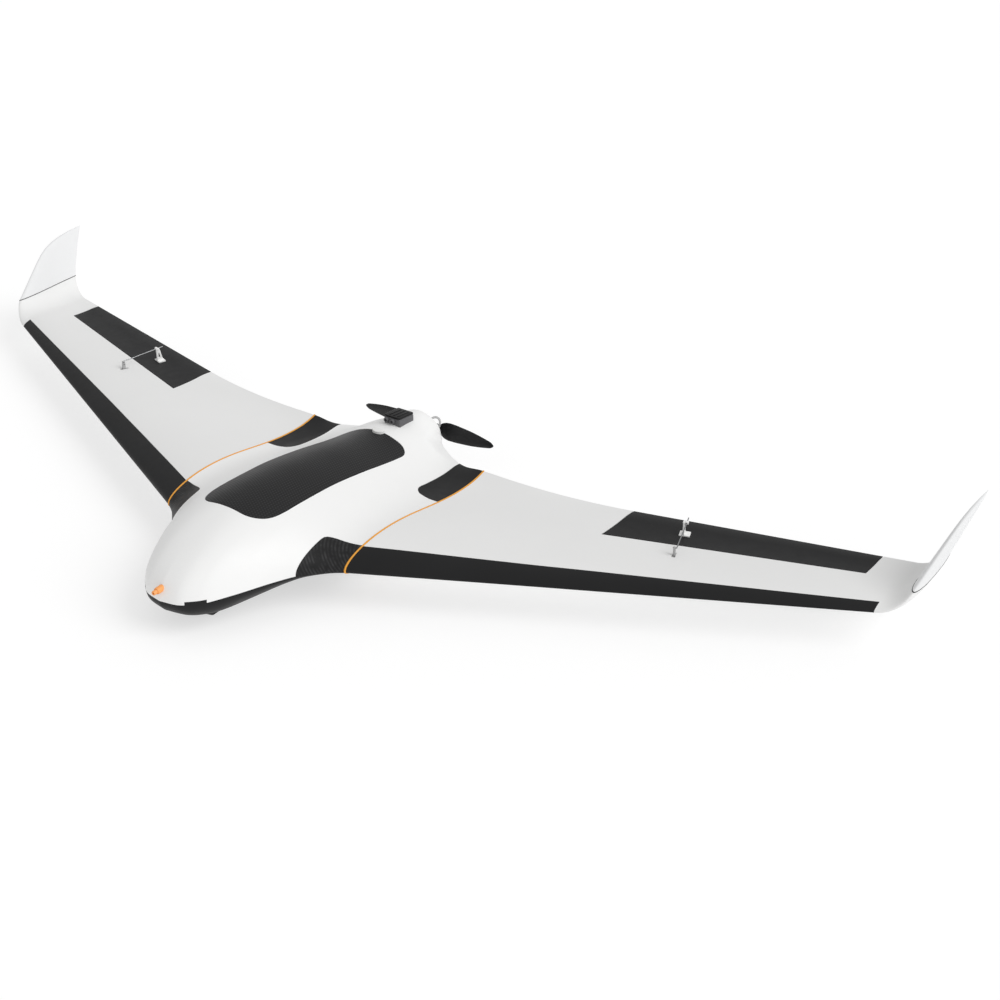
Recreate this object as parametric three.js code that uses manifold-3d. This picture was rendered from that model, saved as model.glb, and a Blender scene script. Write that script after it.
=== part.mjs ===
// Fixed-wing mapping aircraft without a tailplane: a blended body, two swept wings with elevons,
// upswept tips with winglets, and a pusher propeller that folds. Millimetres, +Z up, nose towards -Y.
// Inside the functions the zero is the root chord: y = 0 at its middle, z = 0 at its height, and
// +X is the aircraft's own left. The last lines move everything onto the ground plane.

import * as THREE from "three";
import { mergeVertices } from "three/addons/utils/BufferGeometryUtils.js";
import Module from "manifold-3d";

const wasm = await Module();
wasm.setup();

// ---------------------------------------------------------------- driving dimensions

const GAP = 0.3;                    // between pieces that touch

const NOSE_Y = -440;                // foremost point of the body
const TAIL_Y = 287;                 // flat end of the motor pod
const ROOT_X = 200;                 // joint between the body and a wing
const ROOT_LE = -205;               // leading edge at that joint
const ROOT_TE = 206;                // trailing edge at that joint
const SEAL_THICKNESS = 3.2;         // coloured seal in that joint

const LE_SLOPE = 0.49;              // sweep of the leading edge, mm aft per mm outboard
const TE_FLAT_X = 230;              // the trailing edge starts to sweep here
const TE_BEND = 4.62e-4;            // curvature of the swept-in stretch
const TE_STRAIGHT_X = 500;          // and is straight from here outboard
const TIP_X = 985;                  // the tip starts to bend up
const TIP_RADIUS = 49;
const TIP_BEND = THREE.MathUtils.degToRad(73);
const WINGLET_HEIGHT = 99.5;        // along its own cant
const SEAM_LE = 217;                // winglet root chord
const SEAM_TE = 384;
const WINGLET_TIP_Y = 441;

const HINGE_IN = new THREE.Vector3(500, 131, -0.5);     // elevon hinge line
const HINGE_OUT = new THREE.Vector3(929, 274.5, -0.2);
const ELEVON_CLEARANCE = 0.5;
const ELEVON_END_GAP = 1.2;
const HINGE_ROD_R = 1;

const MAIN_SPAR = { y: -40, z: 3, r: 8, half: 420 };
const REAR_SPAR = { y: 90, z: -5, r: 4, half: 350 };

const GUARD_X = 141;                // inner edge of the black corner guards and of the belly pan
const GUARD_SKIN = 2;

const HATCH_HALF = 75.5;            // at the front; the sides close in slightly towards the rear
const HATCH_REAR_HALF = 73.2;
const HATCH_REAR = 152.5;
const HATCH_CORNER = 27;
const HATCH_SKIN = 3.5;
const WALL = 7;                     // foam shell around the equipment bay
const BAY_HALF = 108;
const BAY_END = 168;

const GROUND_Z = -70;               // skids reach this far below the root chord
const PROBE_TIP = -452;
const PROBE_Z = 17;
const PROBE_R = 4;
const COLLAR_R = 6;

const TAB = { x: 2, y: 152, radius: 13, back: 153, top: 57 };
const CHIN_HALF = 32;
const RAIL = { inner: 42, outer: 52, front: -140, back: 150, ramp: 25 };
const PORT = { y: 20, r: 21 };      // camera port in the belly
const RECESS = { r: 24, y: 262 };   // motor recess in the pod
const BAY_FLOOR = -36.6;            // underside of everything that stands on the battery tray's level

const AXIS_Z = -5;                  // motor shaft
const PROP_Y = 307.6;
const PROP_RADIUS = 152.4;
const BLADE_PIN_X = 20;

const SERVO_AXIS = new THREE.Vector3(640.2, 134.3, 2.3);
const ARM_LENGTH = 24;
const HORN_HOLE = new THREE.Vector2(78.9, 29.1);    // from the servo axis: aft along the rod, up

// ---------------------------------------------------------------- materials

function paint(color, roughness, metalness = 0) {
  return new THREE.MeshStandardMaterial({ color, roughness, metalness });
}

const WHITE = paint(0xf2f2f0, 0.55);
const WING_WHITE = paint(0xe4e4e1, 0.6);
const BLACK = paint(0x323232, 0.5);
const WEAVE = paint(0x3a3a3a, 0.4);
const ORANGE = paint(0xf79a3c, 0.45);
const NYLON = paint(0xececea, 0.4);
const STEEL = paint(0x9a9da0, 0.3, 0.9);
const ALUMINIUM = paint(0xb0b3b6, 0.35, 0.9);
const CARBON = paint(0x1c1c1e, 0.3);
const RUBBER = paint(0x202020, 0.8);
const SLEEVE = paint(0xa8a8a8, 0.5);
const WOOD = paint(0xc9a878, 0.7);
const BLUE = paint(0x2a4a8a, 0.5);
const GLASS = paint(0x101418, 0.05);

// ---------------------------------------------------------------- numbers and curves

function ease(from, to, value) {
  const t = THREE.MathUtils.clamp((value - from) / (to - from), 0, 1);
  return t * t * (3 - 2 * t);
}

// Quarter ellipse: 0 at 0 with an upright tangent, 1 from 1 on.
function quarter(value) {
  const q = THREE.MathUtils.clamp(value, 0, 1);
  return Math.sqrt(1 - (1 - q) * (1 - q));
}

// Smooth curve through points, without overshoot between them.
function through(points) {
  const xs = points.map((p) => p[0]);
  const ys = points.map((p) => p[1]);
  const last = xs.length - 1;
  const rise = (i) => (ys[i + 1] - ys[i]) / (xs[i + 1] - xs[i]);
  const slopes = xs.map((_, i) => {
    if (i === 0) return rise(0);
    if (i === last) return rise(last - 1);
    const before = rise(i - 1);
    const after = rise(i);
    return before * after <= 0 ? 0 : (2 * before * after) / (before + after);
  });
  return (value) => {
    const x = THREE.MathUtils.clamp(value, xs[0], xs[last]);
    let i = 0;
    while (i < last - 1 && x > xs[i + 1]) i += 1;
    const width = xs[i + 1] - xs[i];
    const t = (x - xs[i]) / width;
    const t2 = t * t;
    const t3 = t2 * t;
    return (2 * t3 - 3 * t2 + 1) * ys[i] + (t3 - 2 * t2 + t) * width * slopes[i]
      + (3 * t2 - 2 * t3) * ys[i + 1] + (t3 - t2) * width * slopes[i + 1];
  };
}

// Chordwise positions from a to b, closer together at both ends.
function spread(a, b, count) {
  return Array.from({ length: count }, (_, i) => {
    return a + (b - a) * (0.5 - 0.5 * Math.cos((Math.PI * i) / (count - 1)));
  });
}

// ---------------------------------------------------------------- solids

function toSolid(geometry) {
  const bare = geometry.clone();
  bare.deleteAttribute("normal");
  bare.deleteAttribute("uv");
  const merged = mergeVertices(bare, 1e-3);
  const corners = [];
  for (let i = 0; i < merged.index.count; i += 3) {
    const corner = [0, 1, 2].map((k) => merged.index.getX(i + k));
    if (new Set(corner).size === 3) corners.push(corner);
  }
  const build = (triangles) => new wasm.Manifold(new wasm.Mesh({
    numProp: 3,
    vertProperties: new Float32Array(merged.attributes.position.array),
    triVerts: new Uint32Array(triangles.flat()),
  }));
  const solid = build(corners);
  return solid.volume() < 0 ? build(corners.map(([a, b, c]) => [b, a, c])) : solid;
}

function toGeometry(solid) {
  const data = solid.getMesh();
  const geometry = new THREE.BufferGeometry();
  geometry.setAttribute("position", new THREE.BufferAttribute(new Float32Array(data.vertProperties), 3));
  geometry.setIndex(new THREE.BufferAttribute(new Uint32Array(data.triVerts), 1));
  return geometry;
}

function box(x0, x1, y0, y1, z0, z1) {
  const geometry = new THREE.BoxGeometry(x1 - x0, y1 - y0, z1 - z0);
  geometry.translate((x0 + x1) / 2, (y0 + y1) / 2, (z0 + z1) / 2);
  return toSolid(geometry);
}

function rod(from, to, radius, sides = 12) {
  const along = to.clone().sub(from);
  const geometry = new THREE.CylinderGeometry(radius, radius, along.length(), sides);
  const turn = new THREE.Quaternion().setFromUnitVectors(
    new THREE.Vector3(0, 1, 0), along.clone().normalize());
  geometry.applyQuaternion(turn);
  geometry.translate(...from.clone().add(to).multiplyScalar(0.5).toArray());
  return toSolid(geometry);
}

function rodY(x, y0, y1, z, radius, sides = 18) {
  return rod(new THREE.Vector3(x, y0, z), new THREE.Vector3(x, y1, z), radius, sides);
}

function rodX(x0, x1, y, z, radius, sides = 14) {
  return rod(new THREE.Vector3(x0, y, z), new THREE.Vector3(x1, y, z), radius, sides);
}

function rodZ(x, y, z0, z1, radius, sides = 18) {
  return rod(new THREE.Vector3(x, y, z0), new THREE.Vector3(x, y, z1), radius, sides);
}

// Upright prism over a plan outline of [x, y] points.
function prism(outline, z0, z1) {
  const shape = new THREE.Shape(outline.map(([x, y]) => new THREE.Vector2(x, y)));
  const geometry = new THREE.ExtrudeGeometry(shape, { depth: z1 - z0, bevelEnabled: false });
  geometry.translate(0, 0, z0);
  return toSolid(geometry);
}

// Sideways prism over a side outline of [y, z] points.
function sidePrism(outline, x0, x1) {
  const shape = new THREE.Shape(outline.map(([y, z]) => new THREE.Vector2(y, z)));
  const geometry = new THREE.ExtrudeGeometry(shape, { depth: x1 - x0, bevelEnabled: false });
  geometry.applyMatrix4(new THREE.Matrix4().set(0, 0, 1, x0, 1, 0, 0, 0, 0, 1, 0, 0, 0, 0, 0, 1));
  return toSolid(geometry);
}

// Closed skin over rings that each hold as many upper as lower points, front to back.
function loft(rings) {
  const count = rings[0].upper.length;
  const points = [];
  rings.forEach((ring) => points.push(...ring.upper, ...ring.lower));
  const at = (ring, row, i) => ring * 2 * count + row * count + i;
  const faces = [];
  const quad = (a, b, c, d) => faces.push(a, b, c, a, c, d);
  for (let r = 0; r < rings.length - 1; r += 1) {
    for (let i = 0; i < count - 1; i += 1) {
      quad(at(r, 0, i), at(r + 1, 0, i), at(r + 1, 0, i + 1), at(r, 0, i + 1));
      quad(at(r, 1, i), at(r, 1, i + 1), at(r + 1, 1, i + 1), at(r + 1, 1, i));
    }
    quad(at(r, 0, 0), at(r, 1, 0), at(r + 1, 1, 0), at(r + 1, 0, 0));
    quad(at(r, 0, count - 1), at(r + 1, 0, count - 1), at(r + 1, 1, count - 1), at(r, 1, count - 1));
  }
  const end = rings.length - 1;
  for (let i = 0; i < count - 1; i += 1) {
    quad(at(0, 0, i), at(0, 0, i + 1), at(0, 1, i + 1), at(0, 1, i));
    quad(at(end, 0, i), at(end, 1, i), at(end, 1, i + 1), at(end, 0, i + 1));
  }
  const geometry = new THREE.BufferGeometry().setFromPoints(points);
  geometry.setIndex(faces);
  return toSolid(geometry);
}

// ---------------------------------------------------------------- wing

function leadingY(x) {
  return ROOT_LE + LE_SLOPE * (x - ROOT_X);
}

function trailingY(x) {
  const swept = Math.min(Math.max(x - TE_FLAT_X, 0), TE_STRAIGHT_X - TE_FLAT_X);
  const slope = 2 * TE_BEND * (TE_STRAIGHT_X - TE_FLAT_X);
  return ROOT_TE + TE_BEND * swept * swept + slope * Math.max(x - TE_STRAIGHT_X, 0);
}

// Wing section, as fractions of the chord: reflexed at the root, plain outboard, even on the winglet.
function sectionAt(u) {
  const outboard = ease(ROOT_X, TE_STRAIGHT_X, u);
  const bent = ease(TIP_X, TIP_X + TIP_RADIUS * TIP_BEND, u);
  const mix = THREE.MathUtils.lerp;
  return {
    crest: mix(mix(0.0709, 0.06, outboard), 0.05, bent),
    valley: mix(mix(-0.0072, 0.013, outboard), 0.006, bent),
    tail: mix(0.0062, 0, outboard),
    depth: mix(mix(0.045, 0.035, outboard), 0.05, bent),
  };
}

const CREST_T = 0.238;
const VALLEY_T = 0.875;
const DEEPEST_T = 0.34;
const EDGE = 0.002;

function upperAt(section, t) {
  const middle = (section.crest + section.valley) / 2;
  const swing = (section.crest - section.valley) / 2;
  if (t < CREST_T) return section.crest * quarter(t / CREST_T);
  if (t < VALLEY_T) return middle + swing * Math.cos((Math.PI * (t - CREST_T)) / (VALLEY_T - CREST_T));
  const q = (t - VALLEY_T) / (1 - VALLEY_T);
  return section.valley + (section.tail + EDGE - section.valley) * q * q;
}

function lowerAt(section, t) {
  if (t < DEEPEST_T) return -section.depth * quarter(t / DEEPEST_T);
  const q = ((t - DEEPEST_T) / (1 - DEEPEST_T)) ** 3;
  return -section.depth * (1 - q) + (section.tail - EDGE) * q;
}

const BEND_LENGTH = TIP_RADIUS * TIP_BEND;

// Chord line of the wing at span station u, measured along the surface past the bend.
function chordAt(u) {
  const along = Math.max(u - TIP_X, 0);
  const angle = Math.min(along / TIP_RADIUS, TIP_BEND);
  const above = Math.max(along - BEND_LENGTH, 0);
  const x = Math.min(u, TIP_X) + TIP_RADIUS * Math.sin(angle) + above * Math.cos(angle);
  const z = TIP_RADIUS * (1 - Math.cos(angle)) + above * Math.sin(angle);
  const rise = THREE.MathUtils.clamp(along / BEND_LENGTH, 0, 1);
  const q = above / WINGLET_HEIGHT;
  let front = leadingY(Math.min(u, TIP_X));
  front += (SEAM_LE - leadingY(TIP_X)) * rise ** 1.2;
  front += (WINGLET_TIP_Y - SEAM_LE) * (0.56 * q + 0.44 * (1 - Math.sqrt(Math.max(1 - q ** 10, 0))));
  let back = trailingY(Math.min(u, TIP_X));
  back += (SEAM_TE - trailingY(TIP_X)) * rise;
  back += (WINGLET_TIP_Y - SEAM_TE) * q ** 1.15;
  return { x, z, front, back, lift: [-Math.sin(angle), Math.cos(angle)] };
}

// One ring of the wing's surface between two chordwise stations, grown by a margin all round.
function wingRing(u, t0, t1, count, margin = 0) {
  const chord = chordAt(u);
  const section = sectionAt(u);
  const length = chord.back - chord.front;
  const place = (t, height) => new THREE.Vector3(
    chord.x + chord.lift[0] * height,
    chord.front + t * length + margin * (t * 2 - 1),
    chord.z + chord.lift[1] * height);
  const stations = spread(t0, t1, count);
  return {
    upper: stations.map((t) => place(t, upperAt(section, t) * length + margin)),
    lower: stations.map((t) => place(t, lowerAt(section, t) * length - margin)),
  };
}

// Chordwise depth of the black leading edge, as a share of the chord.
const bandAt = through([
  [ROOT_X, 0.122], [320, 0.1345], [440, 0.143], [500, 0.1435], [700, 0.135], [860, 0.124], [TIP_X, 0.1135],
]);

const ROOT_STATIONS = [ROOT_X + SEAL_THICKNESS / 2 + GAP, 245, 300, 355, 410, 460, 500, 620, 780, 930];
const BEND_STEPS = 6;
const WINGLET_STATIONS = [0, 0.3, 0.55, 0.75, 0.88, 0.95, 0.985, 0.998];

function leadingEdge() {
  const stations = [...ROOT_STATIONS, TIP_X - GAP];
  return loft(stations.map((u) => wingRing(u, 0, bandAt(u) - 0.0015, 9)));
}

function tipShell() {
  const stations = [TIP_X];
  for (let i = 1; i <= BEND_STEPS; i += 1) stations.push(TIP_X + (BEND_LENGTH * i) / BEND_STEPS);
  return loft(stations.map((u) => wingRing(u, 0, 1, 15)));
}

function wingPanel() {
  const stations = [...ROOT_STATIONS, TIP_X, TIP_X + 1];
  const core = loft(stations.map((u) => wingRing(u, bandAt(u), 1, 12)));
  let panel = core.add(tipShell());
  panel = panel.subtract(elevonSweep()).subtract(servoPocket()).subtract(armSlot());
  panel = panel.subtract(rodX(ROOT_X, MAIN_SPAR.half + GAP, MAIN_SPAR.y, MAIN_SPAR.z, MAIN_SPAR.r + GAP));
  panel = panel.subtract(rodX(ROOT_X, REAR_SPAR.half + GAP, REAR_SPAR.y, REAR_SPAR.z, REAR_SPAR.r + GAP));
  return panel.subtract(hingeRod(HINGE_ROD_R + GAP, 12.3));
}

function winglet() {
  const start = TIP_X + BEND_LENGTH + 2 * GAP + 1;
  const rings = WINGLET_STATIONS.map((q) => {
    return wingRing(start + q * (WINGLET_HEIGHT - 1.6), 0, 1, 12);
  });
  return loft(rings);
}

// Thin gasket between the tip and the winglet, standing a little proud.
function wingletGasket() {
  const start = TIP_X + BEND_LENGTH + GAP;
  return loft([start, start + 1].map((u) => wingRing(u, 0, 1, 15, 0.5)));
}

function rootSeal() {
  const x = ROOT_X - SEAL_THICKNESS / 2;
  const rings = [x, x + SEAL_THICKNESS].map((u) => wingRing(u, 0, 1, 20, 0.9));
  const seal = loft(rings);
  const bores = rodX(ROOT_X - 5, ROOT_X + 5, MAIN_SPAR.y, MAIN_SPAR.z, MAIN_SPAR.r + GAP)
    .add(rodX(ROOT_X - 5, ROOT_X + 5, REAR_SPAR.y, REAR_SPAR.z, REAR_SPAR.r + GAP));
  return seal.subtract(bores);
}

// ---------------------------------------------------------------- elevon and its hinge

const HINGE_DIR = HINGE_OUT.clone().sub(HINGE_IN).normalize();
const AFT_DIR = new THREE.Vector3(-HINGE_DIR.y, HINGE_DIR.x, 0).normalize();

function hingeAt(x) {
  return HINGE_IN.clone().lerp(HINGE_OUT, (x - HINGE_IN.x) / (HINGE_OUT.x - HINGE_IN.x));
}

function halfThickness(x) {
  const front = leadingY(x);
  const length = trailingY(x) - front;
  const t = (hingeAt(x).y - front) / length;
  const section = sectionAt(x);
  return ((upperAt(section, t) - lowerAt(section, t)) * length) / 2;
}

// Section of the elevon at x: a round nose about the hinge, then the wing's own surfaces.
function elevonRing(x, noseGrowth, backGrowth) {
  const hinge = hingeAt(x);
  const front = leadingY(x);
  const length = trailingY(x) - front;
  const section = sectionAt(x);
  const radius = halfThickness(x) + noseGrowth;
  const upper = [];
  const lower = [];
  for (let i = 0; i <= 5; i += 1) {
    const angle = (Math.PI / 2) * (i / 5);
    const y = hinge.y - radius * Math.cos(angle);
    upper.push(new THREE.Vector3(x, y, hinge.z + radius * Math.sin(angle)));
    lower.push(new THREE.Vector3(x, y, hinge.z - radius * Math.sin(angle)));
  }
  const start = (hinge.y - front) / length;
  for (let i = 1; i <= 6; i += 1) {
    const t = start + ((1 - start) * i) / 6;
    const y = front + t * length + (i === 6 ? backGrowth : 0);
    upper.push(new THREE.Vector3(x, y, upperAt(section, t) * length + noseGrowth));
    lower.push(new THREE.Vector3(x, y, lowerAt(section, t) * length - noseGrowth));
  }
  return { upper, lower };
}

function elevon() {
  const from = HINGE_IN.x + ELEVON_END_GAP;
  const to = HINGE_OUT.x - ELEVON_END_GAP;
  const steps = 5;
  const rings = [];
  for (let i = 0; i <= steps; i += 1) rings.push(elevonRing(from + ((to - from) * i) / steps, 0, 0));
  return loft(rings).subtract(hingeRod(HINGE_ROD_R + GAP, 30));
}

// Space that the wing leaves for the elevon.
function elevonSweep() {
  const from = HINGE_IN.x;
  const to = HINGE_OUT.x;
  const steps = 5;
  const rings = [];
  for (let i = 0; i <= steps; i += 1) {
    const x = from + ((to - from) * i) / steps;
    const ring = elevonRing(x, ELEVON_CLEARANCE, 20);
    const hinge = hingeAt(x);
    ring.upper.forEach((p) => {
      if (p.y > hinge.y) p.z = hinge.z + 30;
    });
    ring.lower.forEach((p) => {
      if (p.y > hinge.y) p.z = hinge.z - 30;
    });
    rings.push(ring);
  }
  return loft(rings);
}

function hingeRod(radius, overhang) {
  const from = HINGE_IN.clone().addScaledVector(HINGE_DIR, -overhang);
  const to = HINGE_OUT.clone().addScaledVector(HINGE_DIR, overhang);
  return rod(from, to, radius, 10);
}

// ---------------------------------------------------------------- servo and linkage

// Point beside the servo axis: across along the hinge, aft along the rod, up.
function linkPoint(across, aft, up) {
  return SERVO_AXIS.clone().addScaledVector(HINGE_DIR, across)
    .addScaledVector(AFT_DIR, aft).add(new THREE.Vector3(0, 0, up));
}

const LINK_FRAME = new THREE.Matrix4().makeBasis(HINGE_DIR, AFT_DIR, new THREE.Vector3(0, 0, 1));

function linkBox(across, aft, up) {
  const size = [across, aft, up].map(([a, b]) => b - a);
  const geometry = new THREE.BoxGeometry(...size);
  geometry.applyMatrix4(LINK_FRAME);
  const middle = [across, aft, up].map(([a, b]) => (a + b) / 2);
  geometry.translate(...linkPoint(...middle).toArray());
  return toSolid(geometry);
}

// Plate in the plane of the linkage over an outline of [aft, up] points.
function linkPlate(outline, across, thickness) {
  const shape = new THREE.Shape(outline.map(([aft, up]) => new THREE.Vector2(aft, up)));
  const geometry = new THREE.ExtrudeGeometry(shape, { depth: thickness, bevelEnabled: false });
  const lay = new THREE.Matrix4().makeBasis(AFT_DIR, new THREE.Vector3(0, 0, 1), HINGE_DIR);
  geometry.applyMatrix4(lay);
  geometry.translate(...linkPoint(across, 0, 0).toArray());
  return toSolid(geometry);
}

const ARM_ACROSS = -2;              // where each piece lies along the hinge direction
const ARM_THICKNESS = 4;
const ROD_FRONT = 3.8;              // the rod runs slightly outboard, from the arm to the horn
const ROD_BACK = 6.5;
const ROD_R = 1;
const HORN_ACROSS = 2.1;
const HORN_THICKNESS = 3.2;
const SERVO_SIZE = { across: 23, aft: 23.5, up: 12 };

function servoPocket() {
  const far = ARM_ACROSS - 1 - SERVO_SIZE.across - GAP;
  return linkBox([far, ARM_ACROSS - 1 + GAP], [-6.3, 17.8], [-30, SERVO_SIZE.up / 2 + GAP]);
}

function armSlot() {
  return linkBox([ARM_ACROSS - 1, ARM_ACROSS + ARM_THICKNESS + 1], [-9, 9], [-7.5, 30]);
}

function servoCase() {
  const near = ARM_ACROSS - 1;
  const far = near - SERVO_SIZE.across;
  const half = SERVO_SIZE.up / 2;
  const body = linkBox([far, near - 3], [-6, 17.5], [-half, half]);
  const tower = rod(linkPoint(near - 4, 0, 0), linkPoint(near - 0.2, 0, 0), half - 0.4, 20);
  return body.add(tower);
}

function servoArm() {
  const outline = [];
  for (let i = 0; i <= 12; i += 1) {
    const angle = Math.PI * (1 + i / 12);
    outline.push([4.2 * Math.cos(angle), 4.2 * Math.sin(angle)]);
  }
  for (let i = 0; i <= 10; i += 1) {
    const angle = (Math.PI * i) / 10;
    outline.push([2.6 * Math.cos(angle), ARM_LENGTH + 2.6 * Math.sin(angle)]);
  }
  const plate = linkPlate(outline, ARM_ACROSS + GAP, ARM_THICKNESS);
  const hole = rod(linkPoint(-10, 0, ARM_LENGTH), linkPoint(10, 0, ARM_LENGTH), ROD_R + GAP, 12);
  return plate.subtract(hole);
}

// Point on the rod's centre line, as a share of the way from the arm to the horn.
function rodPoint(share) {
  const mix = THREE.MathUtils.lerp;
  const across = mix(ROD_FRONT, ROD_BACK, share);
  return linkPoint(across, HORN_HOLE.x * share, mix(ARM_LENGTH, HORN_HOLE.y, share));
}

// Wire with its front end bent through the arm and its straight end run through the swivel.
function pushrod() {
  const bent = rod(linkPoint(ARM_ACROSS - 0.6, 0, ARM_LENGTH), rodPoint(0), ROD_R, 12);
  return rod(rodPoint(-0.012), rodPoint(1.19), ROD_R, 12).add(bent);
}

function rodSwivel() {
  const inner = HORN_ACROSS + HORN_THICKNESS / 2 + 0.4;
  const barrel = rod(linkPoint(inner, ...HORN_HOLE), linkPoint(ROD_BACK + 3.2, ...HORN_HOLE), 3.2, 12);
  const stem = rod(linkPoint(HORN_ACROSS - 2.6, ...HORN_HOLE), rodPoint(1), 1.1, 10);
  return barrel.add(stem).subtract(rod(rodPoint(0.9), rodPoint(1.1), ROD_R + 0.7, 10));
}

function controlHorn() {
  const [holeAft, holeUp] = HORN_HOLE;
  const fin = linkPlate([
    [holeAft - 3.4, -1], [holeAft + 12, -1], [holeAft + 12, 5], [holeAft + 9, 8],
    [holeAft + 4, holeUp + 1.5], [holeAft + 1.5, holeUp + 3.2], [holeAft - 1.8, holeUp + 3.2],
    [holeAft - 3.4, holeUp + 1],
  ], HORN_ACROSS - HORN_THICKNESS / 2, HORN_THICKNESS);
  const window = linkPlate([
    [holeAft + 0.4, 11], [holeAft + 5, 11], [holeAft + 2.2, holeUp - 7], [holeAft + 0.4, holeUp - 7],
  ], HORN_ACROSS - 5, 10);
  const foot = linkBox([HORN_ACROSS - 8, HORN_ACROSS + 11], [holeAft - 3.4, holeAft + 12], [-1, 5]);
  const hole = rod(linkPoint(-5, ...HORN_HOLE), linkPoint(15, ...HORN_HOLE), 1.1 + GAP, 14);
  const surface = loft([560, 640, 720].map((x) => elevonRing(x, GAP, 0)));
  return fin.subtract(window).subtract(hole).add(foot).subtract(surface);
}

// ---------------------------------------------------------------- body surface

const frontOf = through([
  [0, NOSE_Y], [30, -434], [60, -411], [90, -361], [118, -303], [GUARD_X, -262], [160, -239],
  [180, -219], [ROOT_X, ROOT_LE],
]);
const backOf = through([
  [0, TAIL_Y], [40, TAIL_Y], [52, 281], [62, 266], [78, 251], [92, 241.5], [113, 227.5], [145, 212.5],
  [175, 207], [ROOT_X, ROOT_TE],
]);
const crownAt = through([
  [NOSE_Y, 90], [-300, 96], [-200, 96], [-110, 90.5], [0, 75], [137, 52], [225, 48], [TAIL_Y, 46],
]);
const humpAt = through([
  [NOSE_Y, 230], [ROOT_LE, 200], [0, 186], [110, 172], [205, 135], [242, 100], [TAIL_Y, 78],
]);
const keelAt = through([[NOSE_Y, 44], [-340, 46], [-250, 48], [100, 48], [200, 44], [TAIL_Y, 38]]);
const keelHalf = through([[NOSE_Y, 150], [ROOT_LE, 165], [100, 160], [205, 120], [TAIL_Y, 70]]);
const topRound = through([[0, 235], [60, 200], [100, 150], [ROOT_X, CREST_T * 411]]);
const bottomRound = through([[0, 60], [60, 60], [100, 90], [GUARD_X, 104], [ROOT_X, DEEPEST_T * 411]]);

const POD_HALF = 46;                // the flat tail end
const POD_RISE = 36;
const POD_ROUND = 42;
const ROOT_SECTION = sectionAt(ROOT_X);
const ROOT_CHORD = ROOT_TE - ROOT_LE;

function seamAt(x, y) {
  return -4 * ease(-250, -400, y) - 3 * ease(150, 60, Math.abs(x)) * ease(150, 250, y);
}

function swell(share) {
  return 0.5 + 0.5 * Math.cos(Math.PI * THREE.MathUtils.clamp(share, 0, 1));
}

// Rounds the surface off towards the tail end or the thin trailing edge.
function closeTail(height, x, y, sign) {
  const ax = Math.abs(x);
  const left = backOf(ax) - y;
  const blunt = 1 - quarter(left / POD_ROUND);
  const sharp = (1 - THREE.MathUtils.clamp(left / 60, 0, 1)) ** 2;
  const amount = THREE.MathUtils.lerp(blunt, sharp, ease(46, 60, ax)) * ease(ROOT_X, 150, ax);
  const pod = AXIS_Z + sign * POD_RISE * Math.sqrt(Math.max(1 - (ax / POD_HALF) ** 2, 0));
  const edge = AXIS_Z + Math.min(sign, 0) * 2 + (ax - POD_HALF) * 0.02;
  const end = ax < POD_HALF ? pod : edge;
  return height - (height - end) * amount;
}

function topAt(x, y) {
  const ax = Math.abs(x);
  const t = THREE.MathUtils.clamp((y - ROOT_LE) / ROOT_CHORD, CREST_T, 1);
  const flank = upperAt(ROOT_SECTION, t) * ROOT_CHORD;
  const hump = flank + (crownAt(y) - flank) * swell(ax / humpAt(y));
  const seam = seamAt(x, y);
  const height = seam + (hump - seam) * quarter((y - frontOf(ax)) / topRound(ax));
  return closeTail(height, x, y, 1);
}

function bottomAt(x, y) {
  const ax = Math.abs(x);
  const t = THREE.MathUtils.clamp((y - ROOT_LE) / ROOT_CHORD, DEEPEST_T, 1);
  const flank = lowerAt(ROOT_SECTION, t) * ROOT_CHORD;
  const keel = flank + (-keelAt(y) - flank) * swell((ax - 35) / (keelHalf(y) - 35));
  const seam = seamAt(x, y);
  const height = seam + (keel - seam) * quarter((y - frontOf(ax)) / bottomRound(ax));
  return closeTail(height, x, y, -1);
}

const BODY_STATIONS = [0, 18, 34, 46, 60, 78, 94, 108, 124, GUARD_X, 160, 180,
  ROOT_X - SEAL_THICKNESS / 2 - GAP];

const CHORD_STEPS = 17;

// Body surface drawn in by an inset, or grown by a negative one.
function bodyLoft(inset, stations = BODY_STATIONS, frontInset = inset, backLimit = Infinity) {
  const rings = stations.map((x) => {
    const front = frontOf(x) + frontInset;
    const back = Math.min(backOf(x) - inset / 2, backLimit);
    const upper = [];
    const lower = [];
    spread(0, 1, CHORD_STEPS).forEach((t) => {
      const y = front + (back - front) * t;
      const top = topAt(x, y);
      const bottom = bottomAt(x, y);
      const middle = (top + bottom) / 2;
      const half = Math.max((top - bottom) / 2 - inset, inset > 0 ? 0.2 : 0);
      upper.push(new THREE.Vector3(x, y, middle + half));
      lower.push(new THREE.Vector3(x, y, middle - half));
    });
    return { upper, lower };
  });
  const left = loft(rings);
  return left.add(left.mirror([1, 0, 0]));
}

// ---------------------------------------------------------------- outlines in plan

function arcPoints(cx, cy, radius, from, to, steps) {
  return Array.from({ length: steps + 1 }, (_, i) => {
    const angle = THREE.MathUtils.degToRad(from + ((to - from) * i) / steps);
    return [cx + radius * Math.cos(angle), cy + radius * Math.sin(angle)];
  });
}

function mirrorOutline(half) {
  return [...half, ...half.slice().reverse().map(([x, y]) => [-x, y])];
}

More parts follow.
